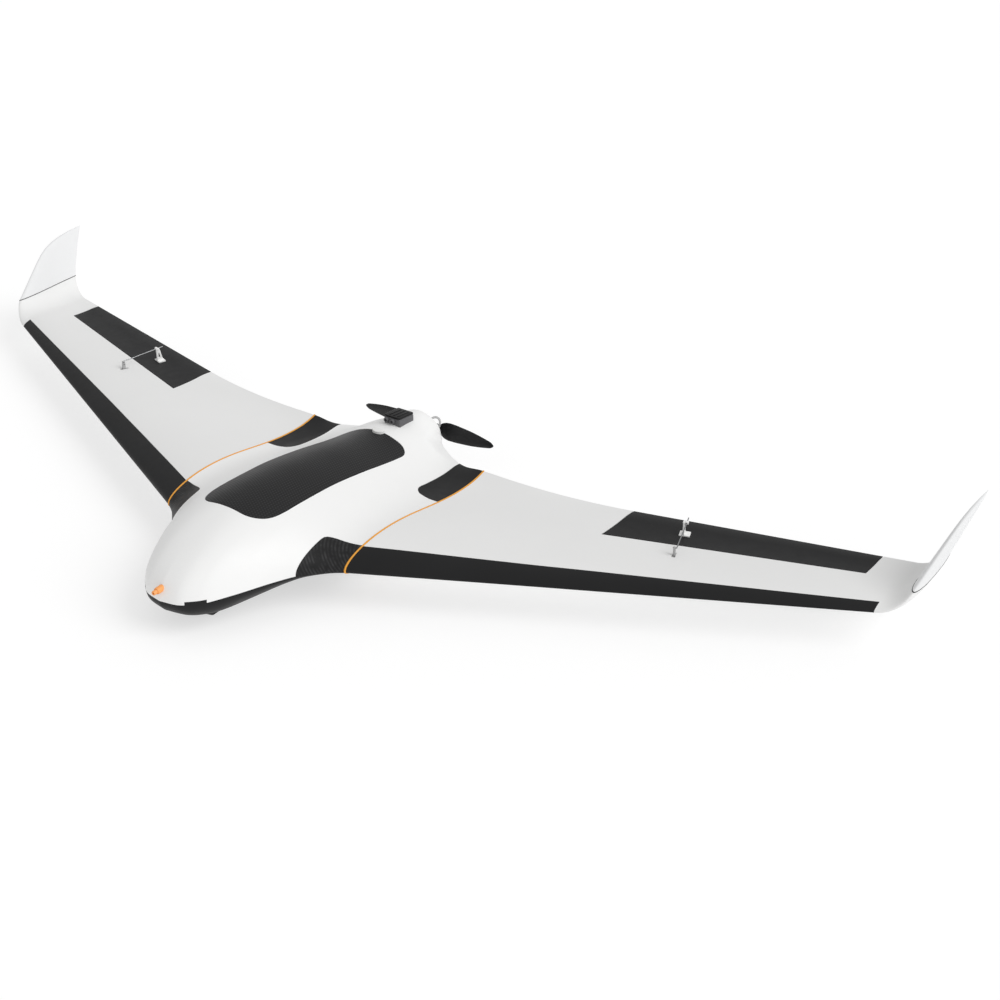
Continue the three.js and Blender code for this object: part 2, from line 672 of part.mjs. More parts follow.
// Hatch: nearly straight sides, a flat front edge with full corners, and rounded rear corners.
function hatchOutline(grow) {
  const half = HATCH_HALF + grow;
  const rearHalf = HATCH_REAR_HALF + grow;
  const rear = HATCH_REAR + grow;
  const back = arcPoints(rearHalf - HATCH_CORNER, rear - HATCH_CORNER, HATCH_CORNER, 90, 0, 6);
  const front = [[74, -219], [71.5, -232], [64, -248], [50, -261.3], [40, -265.5], [30, -267], [12, -267]];
  const grown = front.map(([x, y]) => [x + grow * (x / HATCH_HALF), y - grow * 0.8]);
  const side = [[HATCH_HALF - 0.7 + grow, 0], [half, -100], [half, -205]];
  return mirrorOutline([[12, rear], ...back, ...side, ...grown]);
}

// Corner guard at the leading edge: from the apex down and forward to the belly pan.
function shoulderOutline(grow) {
  const inner = GUARD_X + GAP / 2;
  const edge = [
    [ROOT_X + 8, -152.5], [199, -154], [188, -157.5], [176, -162], [166, -166], [157, -170],
    [150.5, -174], [145, -179], [142.2, -184.5], [inner, -192], [inner, -300],
  ];
  return [...edge.map(([x, y]) => [x - grow, y + grow]), [ROOT_X + 8, -300]];
}

function rootOutline(grow) {
  const inner = GUARD_X - grow;
  return [[ROOT_X + 5, 64 - grow], [180, 64 - grow], ...arcPoints(inner + 26, 92, 26 + grow, 245, 180, 5),
    [inner, 240], [ROOT_X + 5, 240]];
}

// ---------------------------------------------------------------- body pieces

const outer = bodyLoft(0);
const raised = outer.translate([0, 0, GAP]);        // for pieces that stand on the body
const sunk = outer.translate([0, 0, -GAP]);         // for pieces under it
const BAY_STATIONS = BODY_STATIONS.filter((x) => x <= BAY_HALF);
const bay = bodyLoft(WALL, BAY_STATIONS, 14, BAY_END);
const underHatch = bodyLoft(HATCH_SKIN);
const underGuards = bodyLoft(GUARD_SKIN);

function sparBores() {
  const reach = ROOT_X + 5;
  return rodX(-reach, reach, MAIN_SPAR.y, MAIN_SPAR.z, MAIN_SPAR.r + GAP)
    .add(rodX(-reach, reach, REAR_SPAR.y, REAR_SPAR.z, REAR_SPAR.r + GAP));
}

const PAN_END = 190;
const TONGUE = { x0: 43, x1: 68, y0: -432, y1: -380, z: 2 };

// Everything below the widest line, between the corner guards; a thumb tongue rises on each side.
function panSpace(grow) {
  const side = GUARD_X + grow / 2;
  const space = sidePrism([
    [-480, -120], [PAN_END + grow, -120], [PAN_END + grow, grow / 2 - 5], [-250, grow / 2],
    [-400, grow / 2 - 4], [-480, grow / 2 - 4],
  ], -side, side);
  const { x0, x1, y0, y1, z } = TONGUE;
  const half = grow / 2;
  const left = box(x0 - half, x1 + half, y0, y1 + half, -40, z + half);
  const right = box(-x1 - half, -x0 + half, y0, y1 + half, -40, z + half);
  return space.add(left).add(right);
}

function guardPair(outline, grow) {
  const left = prism(outline(grow), -100, 120);
  const right = prism(outline(grow).map(([x, y]) => [-x, y]).reverse(), -100, 120);
  return left.add(right);
}

// The body inside the guards, with a gap to them above, below, ahead and behind.
function guardFloor() {
  const shift = GAP + 0.15;
  const shifts = [[shift, shift], [shift, -shift], [-shift, shift], [-shift, -shift]];
  return shifts.map(([y, z]) => underGuards.translate([0, y, z])).reduce((a, b) => a.intersect(b));
}

function fuselageShell() {
  let shell = outer.subtract(panSpace(GAP)).subtract(bay).subtract(sparBores());
  const ledge = underHatch.translate([0, 0, -GAP]);
  shell = shell.subtract(prism(hatchOutline(0.4), 0, 150).subtract(ledge));
  shell = shell.subtract(prism(hatchOutline(-9), 0, 150));
  const floor = guardFloor();
  shell = shell.subtract(guardPair(shoulderOutline, GAP).subtract(floor));
  shell = shell.subtract(guardPair(rootOutline, GAP).subtract(floor));
  shell = shell.subtract(rodY(0, RECESS.y, TAIL_Y + 5, AXIS_Z, RECESS.r, 32));
  shell = shell.subtract(rodY(0, BAY_END - 5, TAIL_Y, AXIS_Z, 6));
  return shell.subtract(rodY(0, NOSE_Y - 10, NOSE_Y + 40, PROBE_Z, PROBE_R + GAP, 20));
}

function bellyPan() {
  const pan = outer.intersect(panSpace(-GAP)).subtract(bay).subtract(sparBores());
  return pan.subtract(rodZ(0, PORT.y, -70, -20, PORT.r, 32));
}

function hatchCover() {
  return prism(hatchOutline(0), 0, 150).intersect(outer).subtract(underHatch);
}

function guard(outline) {
  return prism(outline(0), -100, 120).intersect(outer).subtract(underGuards);
}

// Half-disc pull tab standing on the hatch's rear edge.
function pullTab() {
  const { x, y, radius, back, top } = TAB;
  const outline = [...arcPoints(x, y, radius, 180, 360, 10), [x + radius, back], [x - radius, back]];
  return prism(outline, 40, top).subtract(raised);
}

function chinSkid() {
  const side = [[-398, -30], [-352, GROUND_Z], [-334, GROUND_Z], [-292, -30]];
  return sidePrism(side, -CHIN_HALF, CHIN_HALF).subtract(sunk);
}

function skidRail() {
  const { inner, outer: outside, front, back, ramp } = RAIL;
  const side = [[front - ramp, -30], [front, GROUND_Z], [back, GROUND_Z], [back + ramp, -30]];
  return sidePrism(side, inner, outside).subtract(sunk);
}

function probeCollar() {
  const ring = rodY(0, PROBE_TIP + 7, PROBE_TIP + 22, PROBE_Z, COLLAR_R, 24);
  const bore = rodY(0, PROBE_TIP - 8, PROBE_TIP + 32, PROBE_Z, PROBE_R + GAP);
  return ring.subtract(outer.translate([0, -GAP, 0])).subtract(bore);
}

function probeTube() {
  const tube = rodY(0, PROBE_TIP, PROBE_TIP + 37, PROBE_Z, PROBE_R, 20);
  return tube.subtract(rodY(0, PROBE_TIP - 1, PROBE_TIP + 27, PROBE_Z, 1.6, 12));
}

// ---------------------------------------------------------------- equipment

const TRAY = { half: 44, y0: -310, y1: -72, thick: 2 };
const BATTERY = { half: 33, y0: -305, y1: -150, top: 12 };
const CONTROLLER = { half: 25, y0: -138, y1: -76, top: -19, lid: 3 };
const CAMERA = { half: 34, y0: -24, y1: 64, z0: -30, z1: 24 };
const LENS = { r: 17, mouth: 12, z0: -42, depth: 4 };
const WINDOW = { z0: -47, z1: -45 };
const SPEED_CONTROLLER = { half: 22, y0: 104, y1: 162, z0: -30, z1: -14, fins: 6 };
const SENSOR = { x0: -16, x1: 20.5, y0: 190, y1: 235, split: 62.5, drop: 5.4, lid: 3.3, rib: 0.8 };

function batteryTray() {
  return box(-TRAY.half, TRAY.half, TRAY.y0, TRAY.y1, BAY_FLOOR - TRAY.thick, BAY_FLOOR);
}

// Battery with the notch of its lead at the front.
function battery() {
  const { half, y0, y1, top } = BATTERY;
  const pack = box(-half, half, y0, y1, BAY_FLOOR + GAP, top);
  return pack.subtract(box(-half - 3, half + 3, y0 - 1, y0 + 5, top - 6, top + 2));
}

function flightController() {
  const { half, y0, y1, top, lid } = CONTROLLER;
  const base = box(-half, half, y0, y1, BAY_FLOOR + GAP, top);
  return base.add(box(5 - half, half - 5, y0 + 5, y1 - 5, top - 1, top + lid));
}

function payloadCamera() {
  const { half, y0, y1, z0, z1 } = CAMERA;
  const grip = box(-half - 2, 4 - half, y0 + 34, y0 + 54, z0 + 25, z1 - 9);
  return box(-half, half, y0, y1, z0, z1).subtract(grip);
}

function cameraLens() {
  const barrel = rodZ(0, PORT.y, LENS.z0, CAMERA.z0 - GAP, LENS.r, 24);
  return barrel.subtract(rodZ(0, PORT.y, LENS.z0 - 1, LENS.z0 + LENS.depth, LENS.mouth, 20));
}

function cameraWindow() {
  return rodZ(0, PORT.y, WINDOW.z0, WINDOW.z1, PORT.r - GAP, 32);
}

function speedController() {
  const { half, y0, y1, z0, z1, fins } = SPEED_CONTROLLER;
  const finned = box(fins - half, half - fins, y0 + 6, y1 - 6, z1 - 1, z1 + fins);
  return box(-half, half, y0, y1, z0, z1).add(finned);
}

// Slab between two heights above the sensor's split, which slopes down towards the rear.
function sensorSlab([x0, x1], [y0, y1], low, high) {
  const slope = SENSOR.drop / (SENSOR.y1 - SENSOR.y0);
  const level = (y, height) => SENSOR.split + height - (y - SENSOR.y0) * slope;
  const bottom = [[y0, level(y0, low)], [y1, level(y1, low)]];
  const top = [[y1, level(y1, high)], [y0, level(y0, high)]];
  return sidePrism([...bottom, ...top], x0, x1);
}

// Housing on the rear deck with two round bosses on its front.
function sensorBase() {
  const { x0, x1, y0, y1, split } = SENSOR;
  const housing = sensorSlab([x0, x1], [y0, y1], -22, 0);
  const bosses = [-8, 6].map((x) => rodY(x, y0 - 6, y0 + 7, split - 6, 4.5, 18));
  return housing.add(bosses[0]).add(bosses[1]).subtract(raised);
}

function sensorLid() {
  const { x0, x1, y0, y1, lid, rib } = SENSOR;
  let cover = sensorSlab([x0, x1], [y0, y1], GAP, lid);
  for (const x of [-9, 0, 9]) {
    cover = cover.add(sensorSlab([x + 1, x + 4], [y0 + 6, y1 - 6], lid - 0.5, lid + rib));
  }
  return cover;
}

// ---------------------------------------------------------------- motor and propeller

// Turned part about the shaft: profile of [radius, y] points.
function turned(profile, sides = 20) {
  const points = profile.map(([radius, y]) => new THREE.Vector2(radius, y));
  const geometry = new THREE.LatheGeometry(points, sides);
  geometry.translate(0, 0, AXIS_Z);
  return toSolid(geometry);
}

function motorMount() {
  let plate = turned([[0, 262.3], [22, 262.3], [22, 265.3], [0, 265.3]]);
  for (let i = 0; i < 4; i += 1) {
    const angle = Math.PI / 4 + (Math.PI / 2) * i;
    plate = plate.add(rodY(18.5 * Math.cos(angle), 264, 267.5, AXIS_Z + 18.5 * Math.sin(angle), 2.2, 12));
  }
  return plate;
}

function motorStator() {
  return turned([[3.2, 265.6], [15, 265.6], [15, 270.5], [11, 271.5], [11, 273], [14.3, 273.5], [14.3, 289],
    [3.2, 289], [3.2, 265.6]]);
}

function motorBell() {
  return turned([[0, 266], [2.5, 266], [2.5, 291], [15.3, 291], [15.3, 271.8], [17.5, 271.8], [17.5, 294],
    [15.5, 297], [6, 298], [6, 300.2], [3, 300.2], [3, 320], [0, 320]]);
}

const HUB = { y0: 300.5, y1: 314, r: 10, half: 25.5, thick: 6.5, slot: 3.4, slotX: 12.8 };

function propHub() {
  let hub = rodY(0, HUB.y0, HUB.y1, AXIS_Z, HUB.r, 20);
  const [low, high] = [AXIS_Z - HUB.thick, AXIS_Z + HUB.thick];
  hub = hub.add(box(-HUB.half, HUB.half, HUB.y0 + 1.5, HUB.y1 - 0.5, low, high));
  [1, -1].forEach((side) => {
    const slot = [HUB.slotX, HUB.half + 2].map((x) => x * side).sort((a, b) => a - b);
    hub = hub.subtract(box(...slot, 290, 330, AXIS_Z - HUB.slot, AXIS_Z + HUB.slot));
    hub = hub.subtract(rodZ(BLADE_PIN_X * side, PROP_Y, AXIS_Z - 20, AXIS_Z + 20, 1.8, 10));
  });
  return hub.subtract(rodY(0, 290, 330, AXIS_Z, 3 + GAP, 20));
}

function bladePin() {
  const pin = rodZ(BLADE_PIN_X, PROP_Y, AXIS_Z - 9.2, AXIS_Z + 8, 1.5, 10);
  const head = rodZ(BLADE_PIN_X, PROP_Y, AXIS_Z + HUB.thick + GAP, AXIS_Z + 9.2, 3, 12);
  const nut = rodZ(BLADE_PIN_X, PROP_Y, AXIS_Z - 9.2, AXIS_Z - HUB.thick - GAP, 3, 6);
  return pin.add(head).add(nut);
}

function propNut() {
  const nut = rodY(0, HUB.y1 + GAP, HUB.y1 + 8, AXIS_Z, 6.5, 6);
  return nut.subtract(rodY(0, HUB.y1 - 2, HUB.y1 + 12, AXIS_Z, 3 + GAP, 20));
}

const BLADE_START = 29;
const BLADE_PITCH = 80;            // advance per turn
const bladeChord = through([
  [BLADE_START, 20], [34, 28], [42, 33], [52, 35], [62, 35], [80, 33], [100, 29.5], [120, 23.5],
  [135, 17.5], [146, 12], [PROP_RADIUS, 5],
]);

// Blade on the +X side, twisted to the propeller's pitch: its lower edge leads and its forward
// face is the arched one.
function propBlade() {
  const stations = [BLADE_START, 33, 38, 43, 48, 56, 66, 82, 100, 118, 133, 144, 150, PROP_RADIUS];
  const rings = stations.map((x) => {
    const chord = bladeChord(x);
    const angle = Math.atan(BLADE_PITCH / (2 * Math.PI * x)) * ease(24, 52, x);
    const thick = THREE.MathUtils.mapLinear(x, BLADE_START, PROP_RADIUS, 4.6, 1.1);
    const place = (t, high) => {
      const along = (t - 0.5) * chord;
      const y = along * Math.sin(angle) - high * Math.cos(angle);
      return new THREE.Vector3(x, PROP_Y + y, AXIS_Z + along * Math.cos(angle) + high * Math.sin(angle));
    };
    const stationsT = spread(0, 1, 7);
    const arch = (t) => Math.sin(Math.PI * t ** 0.75);
    return {
      upper: stationsT.map((t) => place(t, 0.45 * thick * arch(t) + 0.25)),
      lower: stationsT.map((t) => place(t, -0.55 * thick * arch(t) - 0.25)),
    };
  });
  const eye = rodZ(BLADE_PIN_X, PROP_Y, AXIS_Z - 3, AXIS_Z + 3, 5.4, 20);
  const shank = box(BLADE_PIN_X, BLADE_START + 2, PROP_Y - 2.4, PROP_Y + 2.4, AXIS_Z - 3, AXIS_Z + 3);
  const hole = rodZ(BLADE_PIN_X, PROP_Y, AXIS_Z - 20, AXIS_Z + 20, 1.8, 10);
  return loft(rings).add(eye).add(shank).subtract(hole);
}

// Turns a piece half way round the motor shaft.
function halfTurn(solid) {
  return solid.translate([0, 0, -AXIS_Z]).rotate([0, 180, 0]).translate([0, 0, AXIS_Z]);
}

// Motor leads in one sleeve: out of the pod's end and back in beside the motor.
function leadSleeve() {
  const route = new THREE.CatmullRomCurve3([
    new THREE.Vector3(22, 287.9, 24), new THREE.Vector3(22.3, 290, 24.6), new THREE.Vector3(27, 294, 26.5),
    new THREE.Vector3(33, 296, 25), new THREE.Vector3(36.5, 296, 20), new THREE.Vector3(36.5, 295, 13),
    new THREE.Vector3(32, 294, 7), new THREE.Vector3(25, 293, 4.5), new THREE.Vector3(20, 289.5, 4),
    new THREE.Vector3(18.6, 284, 3.8), new THREE.Vector3(18.5, 268, 4),
  ]);
  const ring = new THREE.Shape();
  ring.absarc(0, 0, 2.2, 0, Math.PI * 2);
  return toSolid(new THREE.ExtrudeGeometry(ring, {
    steps: 24, curveSegments: 3, extrudePath: route, bevelEnabled: false,
  }));
}

// ---------------------------------------------------------------- assembly

const craft = new THREE.Group();
craft.position.set(0, -(PROBE_TIP + WINGLET_TIP_Y) / 2, -GROUND_Z);

function place(name, solid, material) {
  const mesh = new THREE.Mesh(toGeometry(solid), material);
  mesh.name = name;
  craft.add(mesh);
}

// A left-hand piece and its mirror image.
function placePair(name, solid, material) {
  place(`${name}_left`, solid, material);
  place(`${name}_right`, solid.mirror([1, 0, 0]), material);
}

place("fuselage_shell", fuselageShell(), WHITE);
place("belly_pan", bellyPan(), BLACK);
place("hatch_cover", hatchCover(), WEAVE);
place("hatch_pull_tab", pullTab(), NYLON);
placePair("shoulder_guard", guard(shoulderOutline), WEAVE);
placePair("root_guard", guard(rootOutline), BLACK);
placePair("root_seal", rootSeal(), ORANGE);
place("chin_skid", chinSkid(), RUBBER);
placePair("skid_rail", skidRail(), RUBBER);
place("probe_collar", probeCollar(), ORANGE);
place("probe_tube", probeTube(), ORANGE);

placePair("wing_panel", wingPanel(), WING_WHITE);
placePair("leading_edge", leadingEdge(), BLACK);
placePair("winglet", winglet(), WHITE);
placePair("winglet_gasket", wingletGasket(), BLACK);
placePair("elevon", elevon(), BLACK);
placePair("hinge_rod", hingeRod(HINGE_ROD_R, 12), STEEL);
placePair("servo_case", servoCase(), BLACK);
placePair("servo_arm", servoArm(), ALUMINIUM);
placePair("pushrod", pushrod(), STEEL);
placePair("rod_swivel", rodSwivel(), STEEL);
placePair("control_horn", controlHorn(), NYLON);
place("main_spar", rodX(-MAIN_SPAR.half, MAIN_SPAR.half, MAIN_SPAR.y, MAIN_SPAR.z, MAIN_SPAR.r), CARBON);
place("rear_spar", rodX(-REAR_SPAR.half, REAR_SPAR.half, REAR_SPAR.y, REAR_SPAR.z, REAR_SPAR.r), CARBON);

place("battery_tray", batteryTray(), WOOD);
place("battery", battery(), BLUE);
place("flight_controller", flightController(), BLACK);
place("payload_camera", payloadCamera(), BLACK);
place("camera_lens", cameraLens(), BLACK);
place("camera_window", cameraWindow(), GLASS);
place("speed_controller", speedController(), BLUE);
place("sensor_base", sensorBase(), BLACK);
place("sensor_lid", sensorLid(), BLACK);

place("motor_mount", motorMount(), ALUMINIUM);
place("motor_stator", motorStator(), ALUMINIUM);
place("motor_bell", motorBell(), BLACK);
place("motor_lead_sleeve", leadSleeve(), SLEEVE);
place("prop_hub", propHub(), BLACK);
place("prop_nut", propNut(), STEEL);
placePair("blade_pin", bladePin(), STEEL);
place("prop_blade_left", propBlade(), CARBON);
place("prop_blade_right", halfTurn(propBlade()), CARBON);

export default craft;
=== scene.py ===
"""The looks of a tailless mapping aircraft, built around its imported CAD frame.

Lengths in the functions are millimetres from the root chord: x to the aircraft's left, y aft, z up.
place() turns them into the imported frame, in metres. The surface formulas are the ones that the CAD uses,
drawn here with many more points.
"""

import math

import bmesh
import bpy
import numpy as np
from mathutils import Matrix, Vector


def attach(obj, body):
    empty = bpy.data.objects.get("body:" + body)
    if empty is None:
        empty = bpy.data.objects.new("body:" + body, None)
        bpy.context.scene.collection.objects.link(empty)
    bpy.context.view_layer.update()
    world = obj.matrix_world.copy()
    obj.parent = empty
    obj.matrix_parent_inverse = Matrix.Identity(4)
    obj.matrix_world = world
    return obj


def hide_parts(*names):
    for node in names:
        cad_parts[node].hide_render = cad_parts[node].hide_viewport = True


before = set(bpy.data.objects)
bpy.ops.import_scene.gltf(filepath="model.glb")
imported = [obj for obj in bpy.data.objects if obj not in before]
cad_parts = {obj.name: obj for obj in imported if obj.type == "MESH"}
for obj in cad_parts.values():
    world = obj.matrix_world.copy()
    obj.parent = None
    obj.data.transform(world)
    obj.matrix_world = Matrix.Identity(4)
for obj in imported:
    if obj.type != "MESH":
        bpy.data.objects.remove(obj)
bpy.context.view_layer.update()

# ------------------------------------------------------------ driving dimensions, millimetres

DATUM = np.array([0.0, 5.5, 70.0])      # the root chord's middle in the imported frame
GAP = 0.3                               # between pieces that touch

NOSE_Y = -440
TAIL_Y = 287
ROOT_X = 200                            # joint between the body and a wing
ROOT_LE = -205
ROOT_TE = 206
SEAL_THICKNESS = 3.2

LE_SLOPE = 0.49
TE_FLAT_X = 230
TE_BEND = 4.62e-4
TE_STRAIGHT_X = 500
TIP_X = 985                             # the tip starts to bend up
TIP_RADIUS = 49
TIP_BEND = math.radians(73)
BEND_LENGTH = TIP_RADIUS * TIP_BEND
WINGLET_HEIGHT = 99.5
SEAM_LE = 217
SEAM_TE = 384
WINGLET_TIP_Y = 441

HINGE_IN = np.array([500, 131, -0.5])   # elevon hinge line
HINGE_OUT = np.array([929, 274.5, -0.2])
ELEVON_END_GAP = 1.2

GUARD_X = 141                           # inner edge of the black corner guards
GUARD_SKIN = 2

HATCH_HALF = 75.5                       # at the front; the sides close in slightly towards the rear
HATCH_REAR_HALF = 73.2
HATCH_REAR = 152.5
HATCH_CORNER = 27
HATCH_SKIN = 3.5
WALL = 7
BAY_HALF = 108
BAY_END = 168
GROUND_Z = -70

PROBE_TIP = -452
PROBE_Z = 17
PROBE_R = 4
COLLAR_R = 6
AXIS_Z = -5                             # motor shaft
PROP_Y = 307.6
PROP_RADIUS = 152.4
BLADE_PIN_X = 20

SERVO_AXIS = np.array([640.2, 134.3, 2.3])
ARM_LENGTH = 24
HORN_HOLE = (78.9, 29.1)                # from the servo axis: aft along the rod, up

# ------------------------------------------------------------ camera, light and floor

VIEW_AZIMUTH = math.radians(34.1)
VIEW_ELEVATION = math.radians(30.19)
VIEW_DISTANCE = 3.33
VIEW_TARGET = Vector((0.2139, 0.2449, 0.0))


def add_camera():
    data = bpy.data.cameras.new("camera")
    data.lens = 64.04
    data.sensor_width = 36
    camera = bpy.data.objects.new("camera", data)
    bpy.context.scene.collection.objects.link(camera)
    flat = math.cos(VIEW_ELEVATION)
    away = Vector((
        flat * math.sin(VIEW_AZIMUTH),
        -flat * math.cos(VIEW_AZIMUTH),
        math.sin(VIEW_ELEVATION),
    ))
    camera.location = VIEW_TARGET + away * VIEW_DISTANCE
    camera.rotation_euler = (-away).to_track_quat("-Z", "Y").to_euler()
    bpy.context.scene.camera = camera


def add_studio():
    """White surroundings and one broad light, high on the aircraft's left."""
    scene = bpy.context.scene
    scene.view_settings.view_transform = "Standard"
    world = bpy.data.worlds.new("studio")
    world.use_nodes = True
    world.node_tree.nodes["Background"].inputs["Color"].default_value = (1, 1, 1, 1)
    world.node_tree.nodes["Background"].inputs["Strength"].default_value = 0.6
    scene.world = world
    data = bpy.data.lights.new("softbox", "SUN")
    data.energy = 1.4
    data.angle = math.radians(40)
    light = bpy.data.objects.new("softbox", data)
    scene.collection.objects.link(light)
    light.rotation_euler = Vector((0.72, 0.15, 0.68)).to_track_quat("Z", "Y").to_euler()


def add_floor():
    mesh = bpy.data.meshes.new("floor")
    reach = 200
    mesh.from_pydata([(-reach, -reach, 0), (reach, -reach, 0), (reach, reach, 0), (-reach, reach, 0)], [],
                     [(0, 1, 2, 3)])
    floor = bpy.data.objects.new("floor", mesh)
    bpy.context.scene.collection.objects.link(floor)
    floor.location.z = -0.0006
    paint = Paint("floor_paper", (0.45, 0.45, 0.45), 0.9, specular=0.1)
    paint.surface.inputs["Emission Color"].default_value = (1, 1, 1, 1)
    paint.surface.inputs["Emission Strength"].default_value = 0.60
    mesh.materials.append(paint.material)


# ------------------------------------------------------------ numbers and curves


def ease(start, end, value):
    t = np.clip((value - start) / (end - start), 0, 1)
    return t * t * (3 - 2 * t)


def quarter(value):
    """Quarter ellipse: 0 at 0 with an upright tangent, 1 from 1 on."""
    q = np.clip(value, 0, 1)
    return np.sqrt(1 - (1 - q) ** 2)


def mix(a, b, share):
    return a + (b - a) * share


def through(*points):
    """Smooth curve through points, without overshoot between them."""
    xs, ys = np.array(points, float).T
    rises = np.diff(ys) / np.diff(xs)
    slopes = np.zeros(len(xs))
    slopes[0], slopes[-1] = rises[0], rises[-1]
    for i in range(1, len(xs) - 1):
        if rises[i - 1] * rises[i] > 0:
            slopes[i] = 2 * rises[i - 1] * rises[i] / (rises[i - 1] + rises[i])

    def curve(value):
        x = np.clip(value, xs[0], xs[-1])
        i = np.clip(np.searchsorted(xs, x) - 1, 0, len(xs) - 2)
        width = xs[i + 1] - xs[i]
        t = (x - xs[i]) / width
        start = (2 * t**3 - 3 * t**2 + 1) * ys[i] + (t**3 - 2 * t**2 + t) * width * slopes[i]
        return start + (3 * t**2 - 2 * t**3) * ys[i + 1] + (t**3 - t**2) * width * slopes[i + 1]

    return curve


def spread(a, b, count):
    """Positions from a to b, closer together at both ends."""
    return a + (b - a) * (0.5 - 0.5 * np.cos(np.linspace(0, math.pi, count)))


# ------------------------------------------------------------ meshes


def place(points):
    return (np.asarray(points, float) + DATUM) / 1000


def build(name, points, faces):
    """Object of one closed mesh from points in millimetres."""
    mesh = bpy.data.meshes.new(name)
    mesh.from_pydata(place(points).tolist(), [], faces)
    work = bmesh.new()
    work.from_mesh(mesh)
    bmesh.ops.remove_doubles(work, verts=work.verts, dist=1e-6)
    bmesh.ops.dissolve_degenerate(work, edges=work.edges, dist=1e-7)
    bmesh.ops.recalc_face_normals(work, faces=work.faces)
    work.to_mesh(mesh)
    work.free()
    piece = bpy.data.objects.new(name, mesh)
    bpy.context.scene.collection.objects.link(piece)
    return piece


def loft(name, rings):
    """Closed skin over rings, each an (upper, lower) pair of equally many points, front to back."""
    count = len(rings[0][0])
    points = np.concatenate([np.concatenate(ring) for ring in rings])
    loop = [*range(count), *range(2 * count - 1, count - 1, -1)]
    faces = []
    for r in range(len(rings) - 1):
        here, there = r * 2 * count, (r + 1) * 2 * count
        for a, b in zip(loop, loop[1:] + loop[:1]):
            faces.append((here + a, here + b, there + b, there + a))
    for start in (0, (len(rings) - 1) * 2 * count):
        for i in range(count - 1):
            faces.append((start + i, start + i + 1, start + count + i + 1, start + count + i))
    return build(name, points, faces)


def tube_rings(name, rings, closed=False, capped=True):
    """Skin over simple loops of points, capped at both ends unless the row of loops is a ring."""
    count = len(rings[0])
    points = np.concatenate(rings)
    faces = []
    last = len(rings) if closed else len(rings) - 1
    for r in range(last):
        here, there = r * count, ((r + 1) % len(rings)) * count
        for i in range(count):
            j = (i + 1) % count
            faces.append((here + i, here + j, there + j, there + i))
    if capped and not closed:
        faces.append(tuple(range(count)))
        faces.append(tuple(range(len(points) - count, len(points))))
    return build(name, points, faces)


def prism(name, outline, z0, z1):
    """Upright prism over a plan outline."""
    flat = np.asarray(outline, float)
    level = [np.column_stack([flat, np.full(len(flat), z)]) for z in (z0, z1)]
    return tube_rings(name, level)


def side_prism(name, outline, x0, x1):
    """Sideways prism over an outline of (y, z) points."""
    flat = np.asarray(outline, float)
    return tube_rings(name, [np.column_stack([np.full(len(flat), x), flat]) for x in (x0, x1)])


def block(name, x, y, z):
    """Box between (low, high) pairs."""
    return prism(name, [(x[0], y[0]), (x[1], y[0]), (x[1], y[1]), (x[0], y[1])], *z)


def basis(direction):
    """Two unit vectors across a direction."""
    along = np.asarray(direction, float) / np.linalg.norm(direction)
    helper = np.array([0, 0, 1.0]) if abs(along[2]) < 0.9 else np.array([1.0, 0, 0])
    across = np.cross(along, helper)
    across /= np.linalg.norm(across)
    return across, np.cross(along, across)


def circle(centre, across, up, radius, sides):
    angles = np.linspace(0, 2 * math.pi, sides, endpoint=False)[:, None]
    return np.asarray(centre) + radius * (np.cos(angles) * across + np.sin(angles) * up)


def rod(name, start, end, radius, sides=28):
    across, up = basis(np.subtract(end, start))
    return tube_rings(name, [circle(p, across, up, radius, sides) for p in (start, end)])


def lathe(name, axis_point, axis, profile, sides=64):
    """Turned piece: profile of (radius, distance along the axis) points, a closed outline."""
    axis = np.asarray(axis, float)
    across, up = basis(axis)
    rings = []
    for angle in np.linspace(0, 2 * math.pi, sides, endpoint=False):
        out = across * math.cos(angle) + up * math.sin(angle)
        rings.append(np.array([np.asarray(axis_point) + out * r + axis * d for r, d in profile]))
    return tube_rings(name, rings, closed=True)


def wire(name, route, radius, sides=20):
    """Round wire along a row of points."""
    route = [np.asarray(p, float) for p in route]
    up = basis(route[1] - route[0])[1]
    rings = []
    for i, point in enumerate(route):
        along = route[min(i + 1, len(route) - 1)] - route[max(i - 1, 0)]
        across = np.cross(along, up)
        across /= np.linalg.norm(across)
        up = np.cross(across, along)
        up /= np.linalg.norm(up)
        rings.append(circle(point, across, up, radius, sides))
    return tube_rings(name, rings)


def smooth_route(points, count):
    """Catmull-Rom curve through points."""
    points = np.asarray(points, float)
    padded = np.concatenate([[2 * points[0] - points[1]], points, [2 * points[-1] - points[-2]]])
    out = []
    for s in np.linspace(0, len(points) - 1, count):
        i = min(int(s), len(points) - 2)
        t = s - i
        a, b, c, d = padded[i:i + 4]
        out.append(0.5 * (2 * b + (c - a) * t + (2 * a - 5 * b + 4 * c - d) * t**2
                          + (3 * b - a - 3 * c + d) * t**3))
    return np.array(out)


def bake(piece):
    """Applies a piece's modifiers."""
    graph = bpy.context.evaluated_depsgraph_get()
    mesh = bpy.data.meshes.new_from_object(piece.evaluated_get(graph))
    piece.modifiers.clear()
    piece.data = mesh
    return piece


def combine(piece, tool, operation, keep_tool=False):
    modifier = piece.modifiers.new("combine", "BOOLEAN")
    modifier.operation = operation
    modifier.solver = "MANIFOLD"
    modifier.object = tool
    bake(piece)
    if not keep_tool:
        bpy.data.objects.remove(tool)
    return piece


def cut(piece, tool, keep_tool=False):
    return combine(piece, tool, "DIFFERENCE", keep_tool)


def join(piece, *tools):
    for tool in tools:
        combine(piece, tool, "UNION")
    return piece


def common(piece, tool, keep_tool=False):
    return combine(piece, tool, "INTERSECT", keep_tool)


